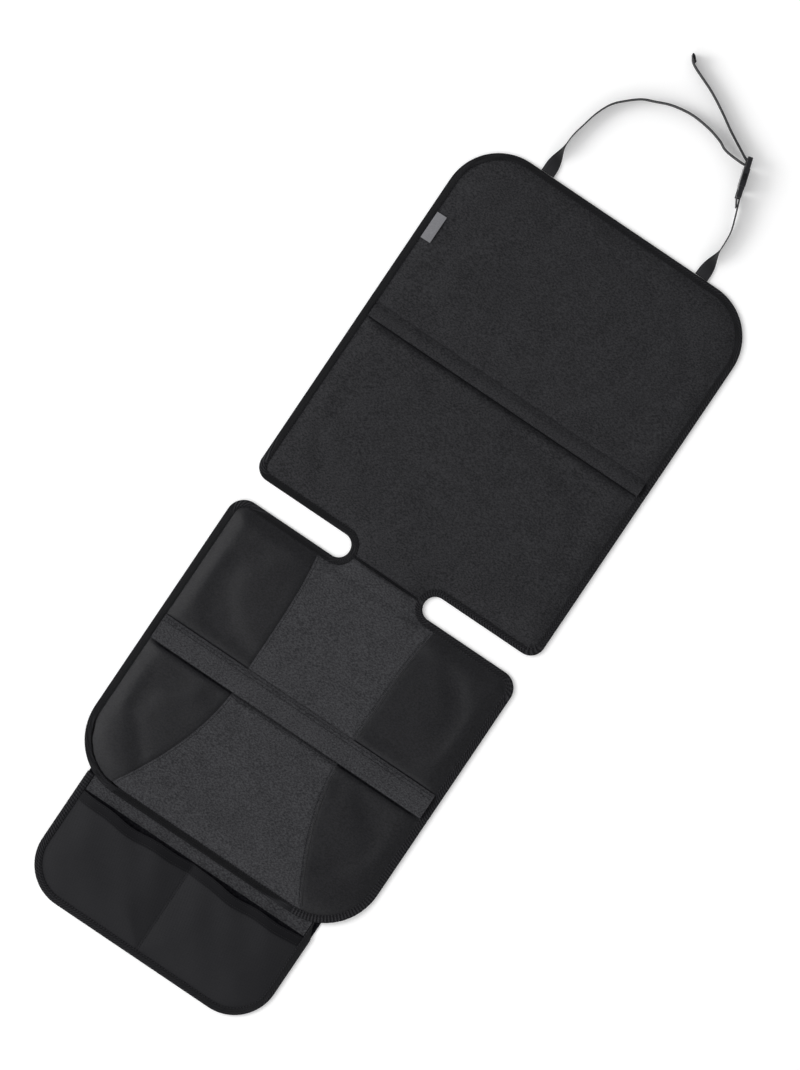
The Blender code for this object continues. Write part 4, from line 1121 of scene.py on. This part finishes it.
def sag(x):
    """How far the mouth of each pocket sags below its own line, uneven between the sides and the divider."""
    share = np.abs(np.asarray(x)) / (POCKET_WIDTH / 2 - TAPE_WIDTH)
    uneven = 1 - SAG_UNEVEN + SAG_UNEVEN * np.cos(np.asarray(x) * SAG_WAVE + 1.0)
    return MOUTH_SAG * np.sin(np.clip(share, 0, 1) * math.pi) * uneven - MOUTH_CLOSED


def let_sag(obj):
    """Moves the pocket's front down with its mouths."""
    for vertex in obj.data.vertices:
        near = float(smooth_step((vertex.co.y - HEM_TAPE_FOOT + SAG_REACH) / SAG_REACH))
        vertex.co.y -= float(sag(vertex.co.x)) * near


def make_pocket():
    edge = TAPE_THICK + GAP
    outline = pocket_line(edge, POCKET_TAPE_TOP + GAP)
    side = POCKET_WIDTH / 2 - edge
    outline = np.vstack([[(-side, POCKET_TUCK_TOP)], outline, [(side, POCKET_TUCK_TOP)]])
    rim_low = backing_low(POCKET_RIM, False)

    def low(points):
        past = np.clip((points[:, 1] - POCKET_TAPE_TOP - GAP) / RIM_REACH, 0, 1)
        return (rim_low(points) - DOT_RISE) * (1 - past)

    top = raised(low, CLOTH)
    backing = cloth_layer("pocket_lining_cloth", outline, COARSE, top, low, LINING)
    dress(backing, "pocket_lining", "pocket_backing")

    band_side = POCKET_WIDTH / 2 - TAPE_WIDTH - 3 * GAP
    strip = rectangle(-band_side, band_side, MOUTH, POCKET_TUCK_TOP)
    strip_top = raised(top, GAP + CLOTH)
    upper = cloth_layer("pocket_strip", strip, FINE, strip_top, raised(strip_top, -CLOTH), GREY_CLOTH)
    dress(upper, "grey_cloth", "pocket_upper_band")

    net_outline = pocket_line(edge, HEM_TAPE_TOP - TUCK)
    mesh_top = raised(mesh_low, MESH_THICK)
    front = cloth_layer("pocket_net_front", net_outline, MESH_STEP, mesh_top, mesh_low, NET)
    let_sag(front)
    dress(front, "mesh", "pocket_mesh_left", "pocket_mesh_right")

    hem_side = POCKET_WIDTH / 2 - TAPE_WIDTH - GAP
    hem = rectangle(-hem_side, hem_side, HEM_TAPE_FOOT, HEM_TAPE_TOP)
    hem_low = raised(mesh_top, GAP)
    hem_top = raised(hem_low, HEM_TAPE_THICK)
    hem_tape = cloth_layer("pocket_hem_binding", hem, MESH_STEP, hem_top, hem_low, TAPE)
    let_sag(hem_tape)
    dress(hem_tape, "edge_tape", "pocket_hem_tape_left", "pocket_hem_tape_right")
    return [backing, upper, front, hem_tape]


POCKET = make_pocket()


# Label tab


TAB_CLEAR = 2 * GAP + 0.0004


def make_tab():
    left, top_y = -SIDE_INSIDE_TAPE, BACK_TOP - TAB_BELOW_TOP
    outline = rectangle(left, left + TAB_REACH, top_y - TAB_LENGTH, top_y)

    low = raised(lambda points: crown(points, [HEM_STITCH]), COVER_FLANGE + CLOTH + TAB_CLEAR)
    tab = cloth_layer("label_cloth", outline, 0.002, raised(low, TAB_THICK), low, LABEL)
    dress(tab, "label", "label_tab")
    return tab


TAB = make_tab()


# Stitches


def world_tree(objects):
    vertices, faces = [], []
    for obj in objects:
        start = len(vertices)
        vertices += [tuple(v.co) for v in obj.data.vertices]
        faces += [tuple(start + i for i in face.vertices) for face in obj.data.polygons]
    return BVHTree.FromPolygons(vertices, faces)


SURFACE = world_tree([*COVERS, FOLD_BAND, *TAPES, *POCKET, TAB])
STITCH_PITCH, STITCH_LENGTH, STITCH_RADIUS, STITCH_SIDES = 0.0036, 0.0027, 0.0004, 5
# Points along a stitch: the share of its length from its middle, and the height above the cloth
STITCH_ARCH = ((-0.5, -0.0002), (-0.28, 0.00018), (0.28, 0.00018), (0.5, -0.0002))
ROW_INSET = 0.002


def stitches(name, rows, closed=False, pitch=STITCH_PITCH):
    """Rows of thread, each stitch a small arched strand that dips into the cloth at both ends."""
    vertices, faces = [], []
    for row in rows:
        line = np.vstack([row, row[:1]]) if closed else np.asarray(row)
        lengths = np.concatenate([[0.0], np.cumsum(np.linalg.norm(np.diff(line, axis=0), axis=1))])
        count = max(1, int(lengths[-1] / pitch))
        for i in range(count):
            start_at = (i + 0.5) * lengths[-1] / count
            spots = []
            for share, height in STITCH_ARCH:
                at = start_at + share * STITCH_LENGTH
                x, y = (float(np.interp(at, lengths, line[:, axis])) for axis in (0, 1))
                hit = SURFACE.ray_cast(Vector((x, y, 1)), Vector((0, 0, -1)))[0]
                if hit is None:
                    break
                spots.append(hit + Vector((0, 0, height)))
            if len(spots) < len(STITCH_ARCH):
                continue
            run = (spots[-1] - spots[0]).normalized()
            side = run.cross(Vector((0, 0, 1))).normalized()
            up = side.cross(run)
            first = len(vertices)
            for spot in spots:
                for k in range(STITCH_SIDES):
                    a = 2 * math.pi * k / STITCH_SIDES
                    vertices.append(spot + (side * math.cos(a) + up * math.sin(a)) * STITCH_RADIUS)
            faces += tube(len(spots), STITCH_SIDES, first)
    made = new_object(name, vertices, faces, THREAD, 60)
    return dress(made, "edge_tape")


def across_row(y, half):
    return np.array([(-half, y), (half, y)])


def groove_shade_rows(y, half, count):
    """Rows of black thread packed side by side at the bottom of a groove, just below the line y: a sewn line,
    thickened into a near-solid dark strip as painted shade of the groove.
    """
    return [across_row(y - 0.0003 - 0.0008 * i, half) for i in range(count)]


def sagging_row(y, half):
    """A row that sags with the pocket's mouths."""
    xs = np.linspace(-half, half, 120)
    return np.column_stack([xs, y - sag(xs)])


def seam_row(half, low_y, high_y, sign, beside):
    """A row on one side of a curved seam."""
    ys = np.linspace(low_y, high_y, 60)
    return np.column_stack([sign * (half(ys) + beside), ys])


def make_stitches():
    inner_half = PANEL_WIDTH / 2 - TAPE_WIDTH - ROW_INSET
    stitches("binding_stitches", [mat_ring(TAPE_WIDTH - 0.0022)], closed=True)
    stitches("pocket_binding_stitches", [pocket_line(TAPE_WIDTH - 0.0022, POCKET_TAPE_TOP - ROW_INSET)])
    stitches("back_fold_stitches", [across_row(HEM_STITCH, inner_half)])
    neck_half = NECK_WIDTH / 2 - TAPE_WIDTH
    # Neck crease and back groove: packed thread rows, partly a seam and mostly painted shade that darkens
    # each groove.
    stitches("neck_crease_shade_threads", groove_shade_rows(CREASE, neck_half, 5), pitch=STITCH_LENGTH)
    stitches("back_groove_shade_threads", groove_shade_rows(HEM_EDGE, inner_half, 3), pitch=STITCH_LENGTH)
    band_rows = (BAND_TOP - 0.004, BAND_TOP - 0.0085, BAND_EDGE - 0.006)
    stitches("seat_band_stitches", [across_row(y, inner_half) for y in band_rows])
    seams = []
    for sign in (-1, 1):
        for beside in (-0.003, 0.003):
            seams.append(seam_row(front_half, BAND_EDGE - 0.004, SEAT_FRONT + 0.016, sign, beside))
            seams.append(seam_row(rear_half, BAND_TOP + 0.003, SEAT_TOP - 0.012, sign, beside))
    stitches("patch_seam_stitches", seams)
    hem_half = POCKET_WIDTH / 2 - TAPE_WIDTH - ROW_INSET
    hem_rows = (HEM_TAPE_TOP - 0.003, HEM_TAPE_FOOT + 0.003)
    stitches("pocket_hem_stitches", [sagging_row(y, hem_half) for y in hem_rows])
    ends = (HEM_TAPE_TOP - 0.001, POCKET_END + TAPE_WIDTH)
    divider = [np.array([(x, y) for y in ends]) for x in (-0.0018, 0.0018)]
    stitches("pocket_divider_stitches", divider)
    front_half_width = PANEL_WIDTH / 2 - SEAT_FRONT_RADIUS
    front_rows = (SEAT_FRONT + 0.0022, SEAT_FRONT + 0.0050)
    stitches("seat_front_stitches", [across_row(y, front_half_width) for y in front_rows])


make_stitches()
